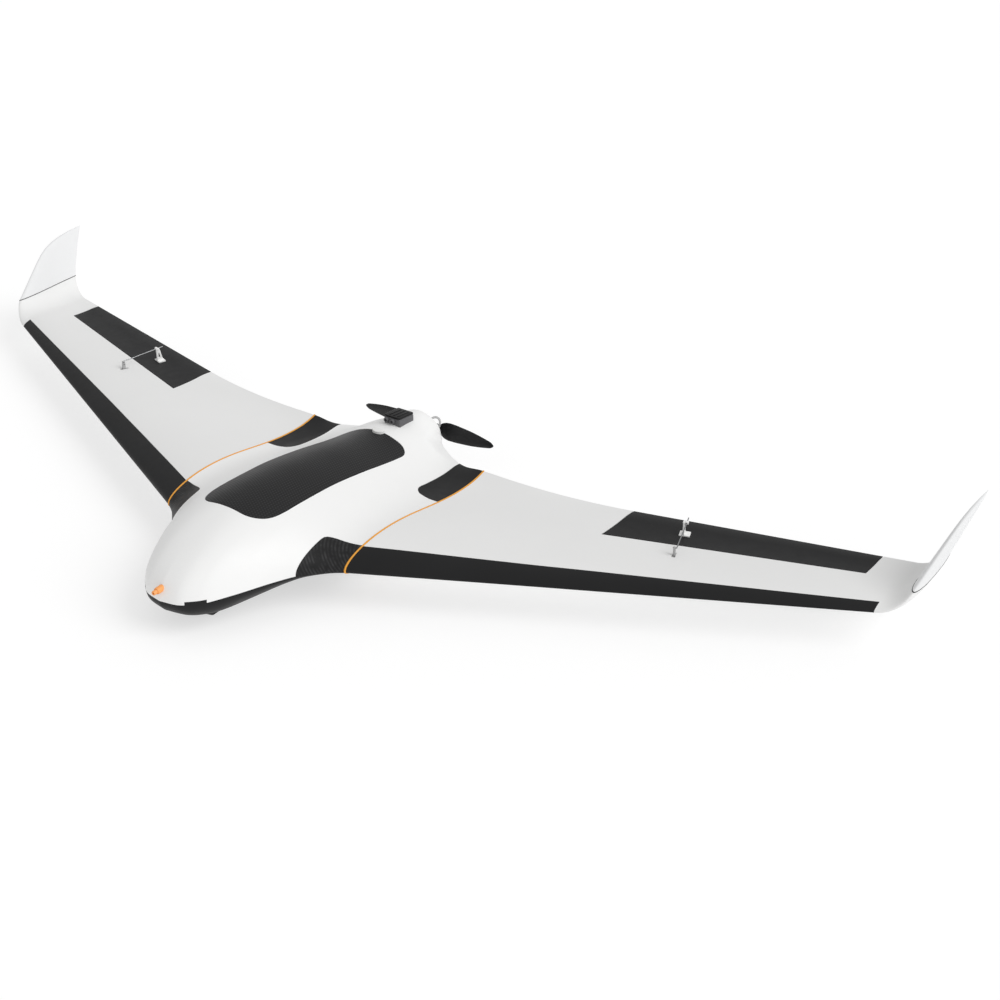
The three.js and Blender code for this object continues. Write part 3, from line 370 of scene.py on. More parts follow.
def copied(piece, name, shift=(0, 0, 0), flip=False):
    """Copy of a piece, moved by millimetres or mirrored to the other side."""
    mesh = piece.data.copy()
    points = np.empty(len(mesh.vertices) * 3)
    mesh.vertices.foreach_get("co", points)
    points = points.reshape(-1, 3) + np.array(shift) / 1000
    if flip:
        points[:, 0] *= -1
    mesh.vertices.foreach_set("co", points.ravel())
    if flip:
        mesh.flip_normals()
    mesh.update()
    twin = bpy.data.objects.new(name, mesh)
    bpy.context.scene.collection.objects.link(twin)
    return twin


def rounded(piece, width, segments=3):
    """Rounds a piece's sharp edges by a width in millimetres."""
    modifier = piece.modifiers.new("round", "BEVEL")
    modifier.width = width / 1000
    modifier.segments = segments
    modifier.limit_method = "ANGLE"
    modifier.angle_limit = math.radians(30)
    return bake(piece)


def dress(piece, body, slot, paint, *nodes, angle=32):
    """Finishes a piece: smooth shading, material, the body it rides on and the nodes it stands for."""
    mesh = piece.data
    mesh.materials.clear()
    mesh.materials.append(paint.material)
    mesh.shade_smooth()
    mesh.set_sharp_from_angle(angle=math.radians(angle))
    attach(piece, body)
    if nodes:
        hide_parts(*nodes)
    return piece


def dress_pair(piece, node, body, slot, paint, angle=32):
    """A left-hand piece and its mirror image, in place of NODE_left and NODE_right."""
    sides = {"left": piece, "right": copied(piece, f"{node}_fine_right", flip=True)}
    piece.name = f"{node}_fine_left"
    for side, twin in sides.items():
        dress(twin, body.format(side=side), slot, paint, f"{node}_{side}", angle=angle)


# ------------------------------------------------------------ materials


class Paint:
    """A material with its nodes: values on the shader's own sockets, patterns through links."""

    def __init__(self, name, color, roughness, metallic=0.0, coat=0.0, specular=0.5):
        self.color = color
        self.material = bpy.data.materials.new(name)
        self.material.use_nodes = True
        self.tree = self.material.node_tree
        self.surface = self.tree.nodes["Principled BSDF"]
        self.surface.inputs["Base Color"].default_value = (*color, 1)
        self.surface.inputs["Roughness"].default_value = roughness
        self.surface.inputs["Metallic"].default_value = metallic
        self.surface.inputs["Coat Weight"].default_value = coat
        self.surface.inputs["Specular IOR Level"].default_value = specular
        self.material.diffuse_color = (*color, 1)
        self.coordinates = self.tree.nodes.new("ShaderNodeTexCoord").outputs["Object"]
        self.height = None

    def node(self, kind, **settings):
        made = self.tree.nodes.new(kind)
        for key, value in settings.items():
            setattr(made, key, value)
        return made

    def link(self, source, target):
        self.tree.links.new(source, target)

    def math(self, operation, *values):
        made = self.node("ShaderNodeMath", operation=operation)
        for socket, value in zip(made.inputs, values):
            if isinstance(value, (int, float)):
                socket.default_value = value
            else:
                self.link(value, socket)
        return made.outputs[0]

    def noise(self, scale, detail):
        made = self.node("ShaderNodeTexNoise")
        made.inputs["Scale"].default_value = scale
        made.inputs["Detail"].default_value = detail
        self.link(self.coordinates, made.inputs["Vector"])
        return made.outputs["Fac"]

    def cells(self, scale):
        made = self.node("ShaderNodeTexVoronoi")
        made.inputs["Scale"].default_value = scale
        self.link(self.coordinates, made.inputs["Vector"])
        return made.outputs["Distance"]

    def wave(self, direction, pitch):
        """Cosine of the distance along a direction, one period per pitch in millimetres."""
        dot = self.node("ShaderNodeVectorMath", operation="DOT_PRODUCT")
        self.link(self.coordinates, dot.inputs[0])
        unit = np.asarray(direction, float) / np.linalg.norm(direction)
        dot.inputs[1].default_value = tuple(unit * 2 * math.pi / (pitch / 1000))
        return self.math("COSINE", dot.outputs["Value"])

    def rings(self, centre, pitch):
        """Cosine of the distance from a point, one period per pitch in millimetres."""
        distance = self.node("ShaderNodeVectorMath", operation="DISTANCE")
        self.link(self.coordinates, distance.inputs[0])
        distance.inputs[1].default_value = tuple(place(centre))
        return self.math("COSINE", self.math("MULTIPLY", distance.outputs["Value"], 2000 * math.pi / pitch))

    def between(self, value, low, high, from_low=0.0, from_high=1.0):
        made = self.node("ShaderNodeMapRange")
        self.link(value, made.inputs["Value"])
        limits = {"From Min": from_low, "From Max": from_high, "To Min": low, "To Max": high}
        for key, number in limits.items():
            made.inputs[key].default_value = number
        return made.outputs["Result"]

    def vary_color(self, value, low, high):
        """Base colour between two multiples of the paint's own by a value from 0 to 1."""
        ramp = self.node("ShaderNodeMix", data_type="RGBA")
        self.link(value, ramp.inputs[0])
        ramp.inputs[6].default_value = (*shade(self.color, low), 1)
        ramp.inputs[7].default_value = (*shade(self.color, high), 1)
        self.link(ramp.outputs[2], self.surface.inputs["Base Color"])

    def vary_roughness(self, value, low, high):
        self.link(self.between(value, low, high), self.surface.inputs["Roughness"])

    def bump(self, value, depth, strength=1.0):
        """Adds relief of a depth in millimetres for a value from 0 to 1."""
        made = self.node("ShaderNodeBump")
        made.inputs["Distance"].default_value = depth / 1000
        made.inputs["Strength"].default_value = strength
        self.link(value, made.inputs["Height"])
        if self.height is not None:
            self.link(self.height, made.inputs["Normal"])
        self.height = made.outputs["Normal"]
        self.link(self.height, self.surface.inputs["Normal"])


def shade(color, factor):
    return tuple(min(c * factor, 1.0) for c in color)


def foam_paint(name, color, grain=0.10):
    """Painted moulded foam: fused beads under the paint, faint clouding, softer scuffs."""
    paint = Paint(name, color, 0.5)
    paint.vary_color(paint.noise(6, 4), 0.975, 1.02)
    paint.vary_roughness(paint.noise(45, 5), 0.42, 0.62)
    paint.bump(paint.cells(340), grain, 0.5)
    paint.bump(paint.noise(26, 3), 0.35, 0.35)
    return paint


def shell_paint(name, color, roughness=0.42):
    """Satin black moulding with a fine spark-eroded grain."""
    paint = Paint(name, color, roughness, specular=0.12)
    paint.vary_color(paint.noise(9, 5), 0.85, 1.18)
    paint.vary_roughness(paint.noise(60, 4), roughness - 0.07, roughness + 0.1)
    paint.bump(paint.cells(900), 0.06, 0.6)
    return paint


WEAVE_PITCH = 5.5
RIPPLE_PITCH = 5.2


def weave_paint(name, color):
    """Black moulding with a raised six-sided weave of dots."""
    paint = shell_paint(name, color, 0.4)
    angles = np.radians([0, 60, 120])
    waves = [paint.wave((math.cos(a), math.sin(a), 0), WEAVE_PITCH * 0.866) for a in angles]
    total = paint.math("ADD", paint.math("ADD", waves[0], waves[1]), waves[2])
    dots = paint.between(total, 0, 1, -1.2, 2.6)
    paint.vary_color(dots, 0.85, 1.7)
    paint.vary_roughness(dots, 0.46, 0.36)
    paint.bump(dots, 0.3, 0.6)
    return paint


def ripple_paint(name, color, centre):
    """Black moulding with fine broken arcs raised about a point."""
    paint = shell_paint(name, color, 0.42)
    arcs = paint.between(paint.rings(centre, RIPPLE_PITCH), 0, 1, -1, 1)
    broken = paint.math("MULTIPLY", arcs, paint.between(paint.noise(90, 3), 0, 1, 0.35, 0.65))
    paint.vary_color(broken, 0.85, 2.2)
    paint.bump(broken, 0.3, 0.6)
    return paint


def moulded_paint(name, color, roughness=0.35, coat=0.0, specular=0.5):
    """Injection-moulded plastic."""
    paint = Paint(name, color, roughness, coat=coat, specular=specular)
    paint.vary_color(paint.noise(30, 3), 0.93, 1.05)
    paint.vary_roughness(paint.noise(110, 4), max(roughness - 0.08, 0.02), roughness + 0.1)
    paint.bump(paint.noise(900, 2), 0.03, 0.5)
    return paint


def metal_paint(name, color, roughness, direction):
    """Turned or drawn metal with fine lines across a direction."""
    paint = Paint(name, color, roughness, metallic=1.0)
    lines = paint.between(paint.wave(direction, 0.35), 0, 1, -1, 1)
    patchy = paint.math("MULTIPLY", lines, paint.noise(400, 3))
    paint.vary_roughness(patchy, roughness - 0.08, roughness + 0.18)
    paint.vary_color(paint.noise(90, 3), 0.88, 1.08)
    paint.bump(lines, 0.01, 0.6)
    return paint


def rubber_paint(name, color):
    paint = Paint(name, color, 0.8)
    paint.vary_color(paint.noise(40, 6), 0.7, 1.6)
    paint.vary_roughness(paint.noise(120, 5), 0.68, 0.92)
    paint.bump(paint.noise(500, 5), 0.12, 0.7)
    return paint


def sleeve_paint(name, color):
    """Braided sleeve: two crossing sets of strands."""
    paint = Paint(name, color, 0.5)
    crossing = paint.math("MULTIPLY", paint.wave((1, 1, 0.6), 1.0), paint.wave((1, -1, -0.6), 1.0))
    strands = paint.between(crossing, 0, 1, -1, 1)
    paint.vary_color(strands, 0.6, 1.25)
    paint.bump(strands, 0.15, 0.8)
    return paint


def plywood_paint(name, color):
    paint = Paint(name, color, 0.65)
    stretch = paint.node("ShaderNodeMapping")
    stretch.inputs["Scale"].default_value = (60, 4, 60)
    paint.link(paint.coordinates, stretch.inputs["Vector"])
    grain = paint.node("ShaderNodeTexNoise")
    grain.inputs["Scale"].default_value = 6
    grain.inputs["Detail"].default_value = 6
    paint.link(stretch.outputs[0], grain.inputs["Vector"])
    paint.vary_color(grain.outputs["Fac"], 0.7, 1.2)
    paint.bump(grain.outputs["Fac"], 0.12, 0.6)
    return paint


def laminate_paint(name, color):
    """Glossy carbon laminate: a twill shows faintly under the coat."""
    paint = Paint(name, color, 0.3, coat=0.08, specular=0.2)
    paint.surface.inputs["Coat Roughness"].default_value = 0.12
    twill = paint.math("MULTIPLY", paint.wave((1, 0.15, 1), 2.4), paint.wave((1, -0.15, -1), 2.4))
    weave = paint.between(twill, 0, 1, -1, 1)
    paint.vary_color(weave, 0.8, 1.7)
    paint.bump(weave, 0.02, 0.5)
    return paint


def wrap_paint(name, color):
    """Shrink wrap: taut, with soft wrinkles."""
    paint = Paint(name, color, 0.28, coat=0.3)
    paint.vary_color(paint.noise(20, 4), 0.8, 1.25)
    paint.bump(paint.noise(55, 5), 0.7, 0.6)
    return paint


def glass_paint(name, color):
    paint = Paint(name, color, 0.04, coat=1.0)
    paint.surface.inputs["Coat Roughness"].default_value = 0.02
    paint.vary_color(paint.noise(15, 2), 0.8, 1.4)
    return paint


BODY_WHITE = foam_paint("body_white", (0.885, 0.885, 0.88))
WING_WHITE = foam_paint("wing_white", (0.83, 0.83, 0.825))
WINGLET_WHITE = foam_paint("winglet_white", (0.80, 0.805, 0.81), grain=0.03)
BLACK = shell_paint("black_satin", (0.017, 0.017, 0.0175))
WEAVE = weave_paint("hatch_weave", (0.021, 0.021, 0.0215))
RIPPLE_LEFT = ripple_paint("guard_ripple_left", (0.020, 0.020, 0.0205), (240, -150, 60))
RIPPLE_RIGHT = ripple_paint("guard_ripple_right", (0.020, 0.020, 0.0205), (-240, -150, 60))
ORANGE_LINE = moulded_paint("orange_line", (0.82, 0.37, 0.055), 0.5, specular=0.2)
ORANGE_PROBE = moulded_paint("orange_probe", (0.98, 0.40, 0.12), 0.4)
NYLON = moulded_paint("white_nylon", (0.92, 0.92, 0.91), 0.4)
# Servo arm: a mid-grey that is painted shade on the arm
ARM_PAINTED_SHADE = moulded_paint("arm_grey_painted_shade", (0.42, 0.42, 0.42), 0.45)
TAB_WHITE = moulded_paint("tab_white", (0.82, 0.82, 0.81), 0.5)
STEEL = metal_paint("drawn_steel", (0.34, 0.345, 0.35), 0.34, (0.3, 1, 0))
TURNED = metal_paint("turned_aluminium", (0.62, 0.63, 0.65), 0.3, (0, 1, 0))
BELL = metal_paint("black_anodised", (0.035, 0.035, 0.04), 0.35, (0, 1, 0))
COPPER = metal_paint("copper_winding", (0.75, 0.34, 0.14), 0.35, (1, 0, 1))
LAMINATE = laminate_paint("carbon_laminate", (0.006, 0.006, 0.0065))
RUBBER = rubber_paint("rubber", (0.022, 0.022, 0.022))
SLEEVE = sleeve_paint("grey_sleeve", (0.58, 0.58, 0.58))
PLYWOOD = plywood_paint("birch_plywood", (0.62, 0.44, 0.25))
CASE = moulded_paint("black_case", (0.014, 0.014, 0.015), 0.42, specular=0.3)
# Sensor housing: the black box's base and bosses painted mid-grey, painted light on its lit sides
HOUSING_PAINTED_LIGHT = moulded_paint("housing_painted_light_grey", (0.10, 0.10, 0.105), 0.45)
LID = moulded_paint("black_lid", (0.010, 0.010, 0.0105), 0.35, specular=0.15)
BLUE_WRAP = wrap_paint("blue_wrap", (0.02, 0.07, 0.22))
GLASS = glass_paint("dark_glass", (0.012, 0.016, 0.022))

# ------------------------------------------------------------ wing surface

CREST_T = 0.238
VALLEY_T = 0.875
DEEPEST_T = 0.34
EDGE = 0.002


def leading_y(x):
    return ROOT_LE + LE_SLOPE * (x - ROOT_X)


def trailing_y(x):
    reach = TE_STRAIGHT_X - TE_FLAT_X
    swept = np.clip(x - TE_FLAT_X, 0, reach)
    return ROOT_TE + TE_BEND * swept**2 + 2 * TE_BEND * reach * np.maximum(x - TE_STRAIGHT_X, 0)


def section_at(u):
    """Crest, valley, tail and depth of the wing section at span station u, as shares of the chord."""
    outboard = ease(ROOT_X, TE_STRAIGHT_X, u)
    bent = ease(TIP_X, TIP_X + BEND_LENGTH, u)
    return (
        mix(mix(0.0709, 0.06, outboard), 0.05, bent),
        mix(mix(-0.0072, 0.013, outboard), 0.006, bent),
        mix(0.0062, 0, outboard),
        mix(mix(0.045, 0.035, outboard), 0.05, bent),
    )


def upper_at(section, t):
    crest, valley, tail, _ = section
    front = crest * quarter(t / CREST_T)
    wave = np.cos(math.pi * (t - CREST_T) / (VALLEY_T - CREST_T))
    middle = (crest + valley) / 2 + (crest - valley) / 2 * wave
    rear = valley + (tail + EDGE - valley) * ((t - VALLEY_T) / (1 - VALLEY_T)) ** 2
    return np.where(t < CREST_T, front, np.where(t < VALLEY_T, middle, rear))


def lower_at(section, t):
    _, _, tail, depth = section
    q = np.clip((t - DEEPEST_T) / (1 - DEEPEST_T), 0, 1) ** 3
    return np.where(t < DEEPEST_T, -depth * quarter(t / DEEPEST_T), -depth * (1 - q) + (tail - EDGE) * q)


def wing_ring(u, t0, t1, count, margin=0.0):
    """Upper and lower row of the wing at span station u, measured along the surface past the bend."""
    along = max(u - TIP_X, 0)
    angle = min(along / TIP_RADIUS, TIP_BEND)
    above = max(along - BEND_LENGTH, 0)
    x = min(u, TIP_X) + TIP_RADIUS * math.sin(angle) + above * math.cos(angle)
    z = TIP_RADIUS * (1 - math.cos(angle)) + above * math.sin(angle)
    rise = min(along / BEND_LENGTH, 1)
    q = above / WINGLET_HEIGHT
    front = leading_y(min(u, TIP_X)) + (SEAM_LE - leading_y(TIP_X)) * rise**1.2
    front += (WINGLET_TIP_Y - SEAM_LE) * (0.56 * q + 0.44 * (1 - math.sqrt(max(1 - q**10, 0))))
    back = trailing_y(min(u, TIP_X)) + (SEAM_TE - trailing_y(TIP_X)) * rise
    back += (WINGLET_TIP_Y - SEAM_TE) * q**1.15
    length = back - front
    section = section_at(u)
    t = spread(t0, t1, count)
    y = front + t * length + margin * (2 * t - 1)

    def row(height):
        return np.column_stack([x - math.sin(angle) * height, y, z + math.cos(angle) * height])

    return row(upper_at(section, t) * length + margin), row(lower_at(section, t) * length - margin)


# Chordwise depth of the black leading edge, as a share of the chord.
band_at = through(
    (ROOT_X, 0.122), (320, 0.1345), (440, 0.143), (500, 0.1435), (700, 0.135), (860, 0.124),
    (TIP_X, 0.1135))


SPAN_STATIONS = np.linspace(ROOT_X + SEAL_THICKNESS / 2 + GAP, TIP_X, 90)
CHORD_POINTS = 70


def leading_edge():
    stations = [*SPAN_STATIONS[:-1], TIP_X - GAP]
    return loft("leading_edge", [wing_ring(u, 0, band_at(u) - 0.0015, 44) for u in stations])


def tip_shell():
    stations = np.linspace(TIP_X, TIP_X + BEND_LENGTH, 26)
    return loft("tip_shell", [wing_ring(u, 0, 1, CHORD_POINTS) for u in stations])


def wing_panel():
    stations = [*SPAN_STATIONS, TIP_X + 1]
    panel = loft("wing_panel", [wing_ring(u, band_at(u), 1, CHORD_POINTS) for u in stations])
    join(panel, tip_shell())
    cut(panel, elevon_sweep())
    pocket = (ARM_ACROSS - 24.3, ARM_ACROSS - 0.7)
    cut(panel, link_block("servo_pocket", pocket, (-6.3, 17.8), (-30, 6.3)))
    slot = (ARM_ACROSS - 1, ARM_ACROSS + ARM_THICKNESS + 1)
    return cut(panel, link_block("arm_slot", slot, (-9, 9), (-7.5, 30)))


def winglet():
    start = TIP_X + BEND_LENGTH + 2 * GAP + 1
    shares = 1 - (1 - np.linspace(0, 1, 70)) ** 1.7
    rings = [wing_ring(start + q * (WINGLET_HEIGHT - 1.6), 0, 1, 60) for q in shares * 0.9995]
    return loft("winglet", rings)


def winglet_gasket():
    start = TIP_X + BEND_LENGTH + GAP
    profile = ((0, 0.0), (0.15, 0.35), (0.5, 0.5), (0.85, 0.35), (1, 0.0))
    return loft("winglet_gasket", [wing_ring(start + s, 0, 1, CHORD_POINTS, m) for s, m in profile])


def root_seal():
    """Rubbery bead in the joint between body and wing, round in section."""
    rings = []
    for angle in np.linspace(-90, 90, 9):
        offset = SEAL_THICKNESS / 2 * math.sin(math.radians(angle))
        bulge = 0.9 * math.cos(math.radians(angle)) ** 0.7
        ring = wing_ring(ROOT_X, 0, 1, 110, bulge)
        rings.append(tuple(row + np.array([offset, 0, 0]) for row in ring))
    return loft("root_seal", rings)


# ------------------------------------------------------------ elevon

HINGE_DIR = (HINGE_OUT - HINGE_IN) / np.linalg.norm(HINGE_OUT - HINGE_IN)
AFT_DIR = np.array([-HINGE_DIR[1], HINGE_DIR[0], 0]) / np.hypot(HINGE_DIR[0], HINGE_DIR[1])
UP = np.array([0, 0, 1.0])


def hinge_at(x):
    return mix(HINGE_IN, HINGE_OUT, (x - HINGE_IN[0]) / (HINGE_OUT[0] - HINGE_IN[0]))


def elevon_ring(x, nose_growth=0.0, back_growth=0.0):
    """Round nose about the hinge, then the wing's own surfaces."""
    hinge = hinge_at(x)
    front = leading_y(x)
    length = trailing_y(x) - front
    section = section_at(x)
    start = (hinge[1] - front) / length
    half = (upper_at(section, start) - lower_at(section, start)) * length / 2 + nose_growth
    rows = []
    for surface, sign in ((upper_at, 1), (lower_at, -1)):
        angles = np.linspace(0, math.pi / 2, 12)
        nose = np.column_stack([
            np.full(12, x), hinge[1] - half * np.cos(angles), hinge[2] + sign * half * np.sin(angles)])
        t = start + (1 - start) * np.linspace(0, 1, 30)[1:]
        y = front + t * length
        y[-1] += back_growth
        height = surface(section, t) * length + sign * nose_growth
        rows.append(np.concatenate([nose, np.column_stack([np.full(29, x), y, height])]))
    return tuple(rows)


def elevon():
    stations = np.linspace(HINGE_IN[0] + ELEVON_END_GAP, HINGE_OUT[0] - ELEVON_END_GAP, 60)
    return loft("elevon", [elevon_ring(x) for x in stations])


def elevon_sweep():
    """Space that the wing leaves for the elevon."""
    rings = []
    for x in np.linspace(HINGE_IN[0], HINGE_OUT[0], 60):
        upper, lower = elevon_ring(x, 0.5, 20)
        hinge = hinge_at(x)
        upper[upper[:, 1] > hinge[1], 2] = hinge[2] + 30
        lower[lower[:, 1] > hinge[1], 2] = hinge[2] - 30
        rings.append((upper, lower))
    return loft("elevon_sweep", rings)


# ------------------------------------------------------------ servo and linkage

ARM_ACROSS = -2                         # where each piece lies along the hinge direction
ARM_THICKNESS = 4
ROD_FRONT = 3.8                         # the rod runs slightly outboard, from the arm to the horn
ROD_BACK = 6.5
ROD_R = 1
HORN_ACROSS = 2.1
HORN_THICKNESS = 3.2


def link_point(across, aft, up):
    """Point beside the servo axis: across along the hinge, aft along the rod, up."""
    return SERVO_AXIS + HINGE_DIR * across + AFT_DIR * aft + UP * up


def link_plate(name, outline, across, thickness):
    """Plate over an outline of (aft, up) points, of a thickness along the hinge."""
    sides = (across, across + thickness)
    return tube_rings(name, [np.array([link_point(a, aft, up) for aft, up in outline]) for a in sides])


def link_block(name, across, aft, up):
    outline = [(aft[0], up[0]), (aft[1], up[0]), (aft[1], up[1]), (aft[0], up[1])]
    return link_plate(name, outline, across[0], across[1] - across[0])


def arc(centre, radius, start, end, count):
    angles = np.radians(np.linspace(start, end, count))
    return [(centre[0] + radius * math.cos(a), centre[1] + radius * math.sin(a)) for a in angles]


def servo_case():
    near = ARM_ACROSS - 1
    case = rounded(link_block("servo_case", (near - 23, near - 3), (-6, 17.5), (-6, 6)), 0.8)
    boss = rod("servo_boss", link_point(near - 4, 0, 0), link_point(near - 0.2, 0, 0), 5.6, 40)
    return join(case, rounded(boss, 0.5))


def servo_arm():
    outline = arc((0, 0), 4.2, 180, 360, 20) + arc((0, ARM_LENGTH), 2.6, 0, 180, 16)
    arm = rounded(link_plate("servo_arm", outline, ARM_ACROSS + GAP, ARM_THICKNESS), 0.45)
    for up in (ARM_LENGTH, ARM_LENGTH - 4.5):
        cut(arm, rod("hole", link_point(-10, 0, up), link_point(10, 0, up), ROD_R + GAP, 24))
    outer = ARM_ACROSS + GAP + ARM_THICKNESS
    screw = rod("screw", link_point(outer - 1, 0, 0), link_point(outer + 0.6, 0, 0), 2.4, 24)
    return join(arm, rounded(screw, 0.3))


def rod_point(share):
    """Point on the rod's centre line, as a share of the way from the arm to the horn."""
    across = mix(ROD_FRONT, ROD_BACK, share)
    return link_point(across, HORN_HOLE[0] * share, mix(ARM_LENGTH, HORN_HOLE[1], share))


def pushrod():
    """Wire with its front end bent through the arm and its straight end run through the swivel."""
    corner = link_point(ROD_FRONT - 1.6, 0, ARM_LENGTH)
    bend = smooth_route([corner, rod_point(0), rod_point(0.03)], 12)
    start = link_point(ARM_ACROSS - 0.6, 0, ARM_LENGTH)
    return wire("pushrod", [start, *bend, rod_point(0.5), rod_point(1.19)], ROD_R)


def rod_swivel():
    inner = HORN_ACROSS + HORN_THICKNESS / 2 + 0.4
    ends = link_point(inner, *HORN_HOLE), link_point(ROD_BACK + 3.2, *HORN_HOLE)
    barrel = rounded(rod("rod_swivel", *ends, 3.2, 36), 0.4)
    stem = rod("stem", link_point(HORN_ACROSS - 2.6, *HORN_HOLE), rod_point(1), 1.1)
    return cut(join(barrel, stem), rod("bore", rod_point(0.9), rod_point(1.1), ROD_R + 0.7))


def control_horn():
    aft, up = HORN_HOLE
    fin = rounded(link_plate("control_horn", [
        (aft - 3.4, -1), (aft + 12, -1), (aft + 12, 5), (aft + 9, 8), (aft + 4, up + 1.5),
        (aft + 1.5, up + 3.2), (aft - 1.8, up + 3.2), (aft - 3.4, up + 1),
    ], HORN_ACROSS - HORN_THICKNESS / 2, HORN_THICKNESS), 0.4)
    window = link_plate("window", [
        (aft + 0.4, 11), (aft + 5, 11), (aft + 2.2, up - 7), (aft + 0.4, up - 7),
    ], HORN_ACROSS - 5, 10)
    cut(fin, window)
    cut(fin, rod("hole", link_point(-5, *HORN_HOLE), link_point(15, *HORN_HOLE), 1.1 + GAP))
    foot = link_block("foot", (HORN_ACROSS - 8, HORN_ACROSS + 11), (aft - 3.4, aft + 12), (-1, 5))
    horn = join(rounded(foot, 0.8), fin)
    return cut(horn, loft("under", [elevon_ring(x, GAP) for x in np.linspace(560, 720, 24)]))


# ------------------------------------------------------------ body surface

front_of = through(
    (0, NOSE_Y), (30, -434), (60, -411), (90, -361), (118, -303), (GUARD_X, -262), (160, -239),
    (180, -219), (ROOT_X, ROOT_LE))
back_of = through(
    (0, TAIL_Y), (40, TAIL_Y), (52, 281), (62, 266), (78, 251), (92, 241.5), (113, 227.5), (145, 212.5),
    (175, 207), (ROOT_X, ROOT_TE))
crown_at = through(
    (NOSE_Y, 90), (-300, 96), (-200, 96), (-110, 90.5), (0, 75), (137, 52), (225, 48), (TAIL_Y, 46))
hump_at = through(
    (NOSE_Y, 230), (ROOT_LE, 200), (0, 186), (110, 172), (205, 135), (242, 100), (TAIL_Y, 78))
keel_at = through((NOSE_Y, 44), (-340, 46), (-250, 48), (100, 48), (200, 44), (TAIL_Y, 38))
keel_half = through((NOSE_Y, 150), (ROOT_LE, 165), (100, 160), (205, 120), (TAIL_Y, 70))
top_round = through((0, 235), (60, 200), (100, 150), (ROOT_X, CREST_T * 411))
bottom_round = through((0, 60), (60, 60), (100, 90), (GUARD_X, 104), (ROOT_X, DEEPEST_T * 411))

POD_HALF = 46
POD_RISE = 36
POD_ROUND = 42
ROOT_SECTION = section_at(ROOT_X)
ROOT_CHORD = ROOT_TE - ROOT_LE


def seam_at(x, y):
    return -4 * ease(-250, -400, y) - 3 * ease(150, 60, np.abs(x)) * ease(150, 250, y)


def swell(share):
    return 0.5 + 0.5 * np.cos(math.pi * np.clip(share, 0, 1))


def close_tail(height, x, y, sign):
    """Rounds the surface off towards the tail end or the thin trailing edge."""
    ax = np.abs(x)
    left = back_of(ax) - y
    blunt = 1 - quarter(left / POD_ROUND)
    sharp = (1 - np.clip(left / 60, 0, 1)) ** 2
    amount = mix(blunt, sharp, ease(46, 60, ax)) * ease(ROOT_X, 150, ax)
    pod = AXIS_Z + sign * POD_RISE * np.sqrt(np.maximum(1 - (ax / POD_HALF) ** 2, 0))
    edge = AXIS_Z + min(sign, 0) * 2 + (ax - POD_HALF) * 0.02
    return height - (height - np.where(ax < POD_HALF, pod, edge)) * amount


def top_at(x, y):
    ax = np.abs(x)
    flank = upper_at(ROOT_SECTION, np.clip((y - ROOT_LE) / ROOT_CHORD, CREST_T, 1)) * ROOT_CHORD
    hump = flank + (crown_at(y) - flank) * swell(ax / hump_at(y))
    seam = seam_at(x, y)
    height = seam + (hump - seam) * quarter((y - front_of(ax)) / top_round(ax))
    return close_tail(height, x, y, 1)


def bottom_at(x, y):
    ax = np.abs(x)
    flank = lower_at(ROOT_SECTION, np.clip((y - ROOT_LE) / ROOT_CHORD, DEEPEST_T, 1)) * ROOT_CHORD
    keel = flank + (-keel_at(y) - flank) * swell((ax - 35) / (keel_half(y) - 35))
    seam = seam_at(x, y)
    height = seam + (keel - seam) * quarter((y - front_of(ax)) / bottom_round(ax))
    return close_tail(height, x, y, -1)


def body_stations():
    pod = POD_HALF * np.sin(np.linspace(0, math.pi / 2, 22))
    rest = np.linspace(POD_HALF, ROOT_X - SEAL_THICKNESS / 2 - GAP, 62)[1:]
    half = np.concatenate([pod, rest])
    return np.concatenate([-half[:0:-1], half])


def body_loft(name, inset=0.0, stations=None, front_inset=None, back_limit=math.inf, count=110):
    """Body surface drawn in by an inset."""
    rings = []
    for x in body_stations() if stations is None else stations:
        front = front_of(abs(x)) + (inset if front_inset is None else front_inset)
        back = min(back_of(abs(x)) - inset / 2, back_limit)
        y = front + (back - front) * spread(0, 1, count)
        top, bottom = top_at(x, y), bottom_at(x, y)
        half = np.maximum((top - bottom) / 2 - inset, 0.2 if inset > 0 else 0)
        middle = (top + bottom) / 2
        rings.append(tuple(
            np.column_stack([np.full(count, x), y, middle + sign * half]) for sign in (1, -1)))
    return loft(name, rings)


# ------------------------------------------------------------ outlines in plan


def soften(outline, step=2.0, reach=4):
    """Closed outline resampled at an even step and rounded over a few steps."""
    points = np.asarray(outline, float)
    closed = np.concatenate([points, points[:1]])
    lengths = np.concatenate([[0], np.cumsum(np.linalg.norm(np.diff(closed, axis=0), axis=1))])
    where = np.linspace(0, lengths[-1], int(lengths[-1] / step), endpoint=False)
    even = np.column_stack([np.interp(where, lengths, closed[:, k]) for k in (0, 1)])
    return sum(np.roll(even, shift, axis=0) for shift in range(-reach, reach + 1)) / (2 * reach + 1)


def grown(outline, margin):
    """Closed outline moved outwards by a margin."""
    points = np.asarray(outline, float)
    along = np.roll(points, -1, axis=0) - np.roll(points, 1, axis=0)
    area = np.sum(points[:, 0] * np.roll(points[:, 1], -1) - points[:, 1] * np.roll(points[:, 0], -1))
    out = np.column_stack([along[:, 1], -along[:, 0]]) * np.sign(area)
    return points + margin * out / np.linalg.norm(out, axis=1)[:, None]


def hatch_outline():
    """Nearly straight sides, a flat front edge with full corners, and rounded rear corners."""
    back = arc((HATCH_REAR_HALF - HATCH_CORNER, HATCH_REAR - HATCH_CORNER), HATCH_CORNER, 90, 0, 16)
    front = [(74.6, -213), (73.4, -224), (71, -234), (67, -243.5), (61, -252), (54, -258.5), (47, -263),
             (39, -266), (30, -267), (12, -267)]
    half = [(0, HATCH_REAR), *back, (HATCH_HALF - 0.7, 0), (HATCH_HALF, -100), (HATCH_HALF, -200), *front]
    return soften(half + [(-x, y) for x, y in half[:0:-1]], 2, 2)


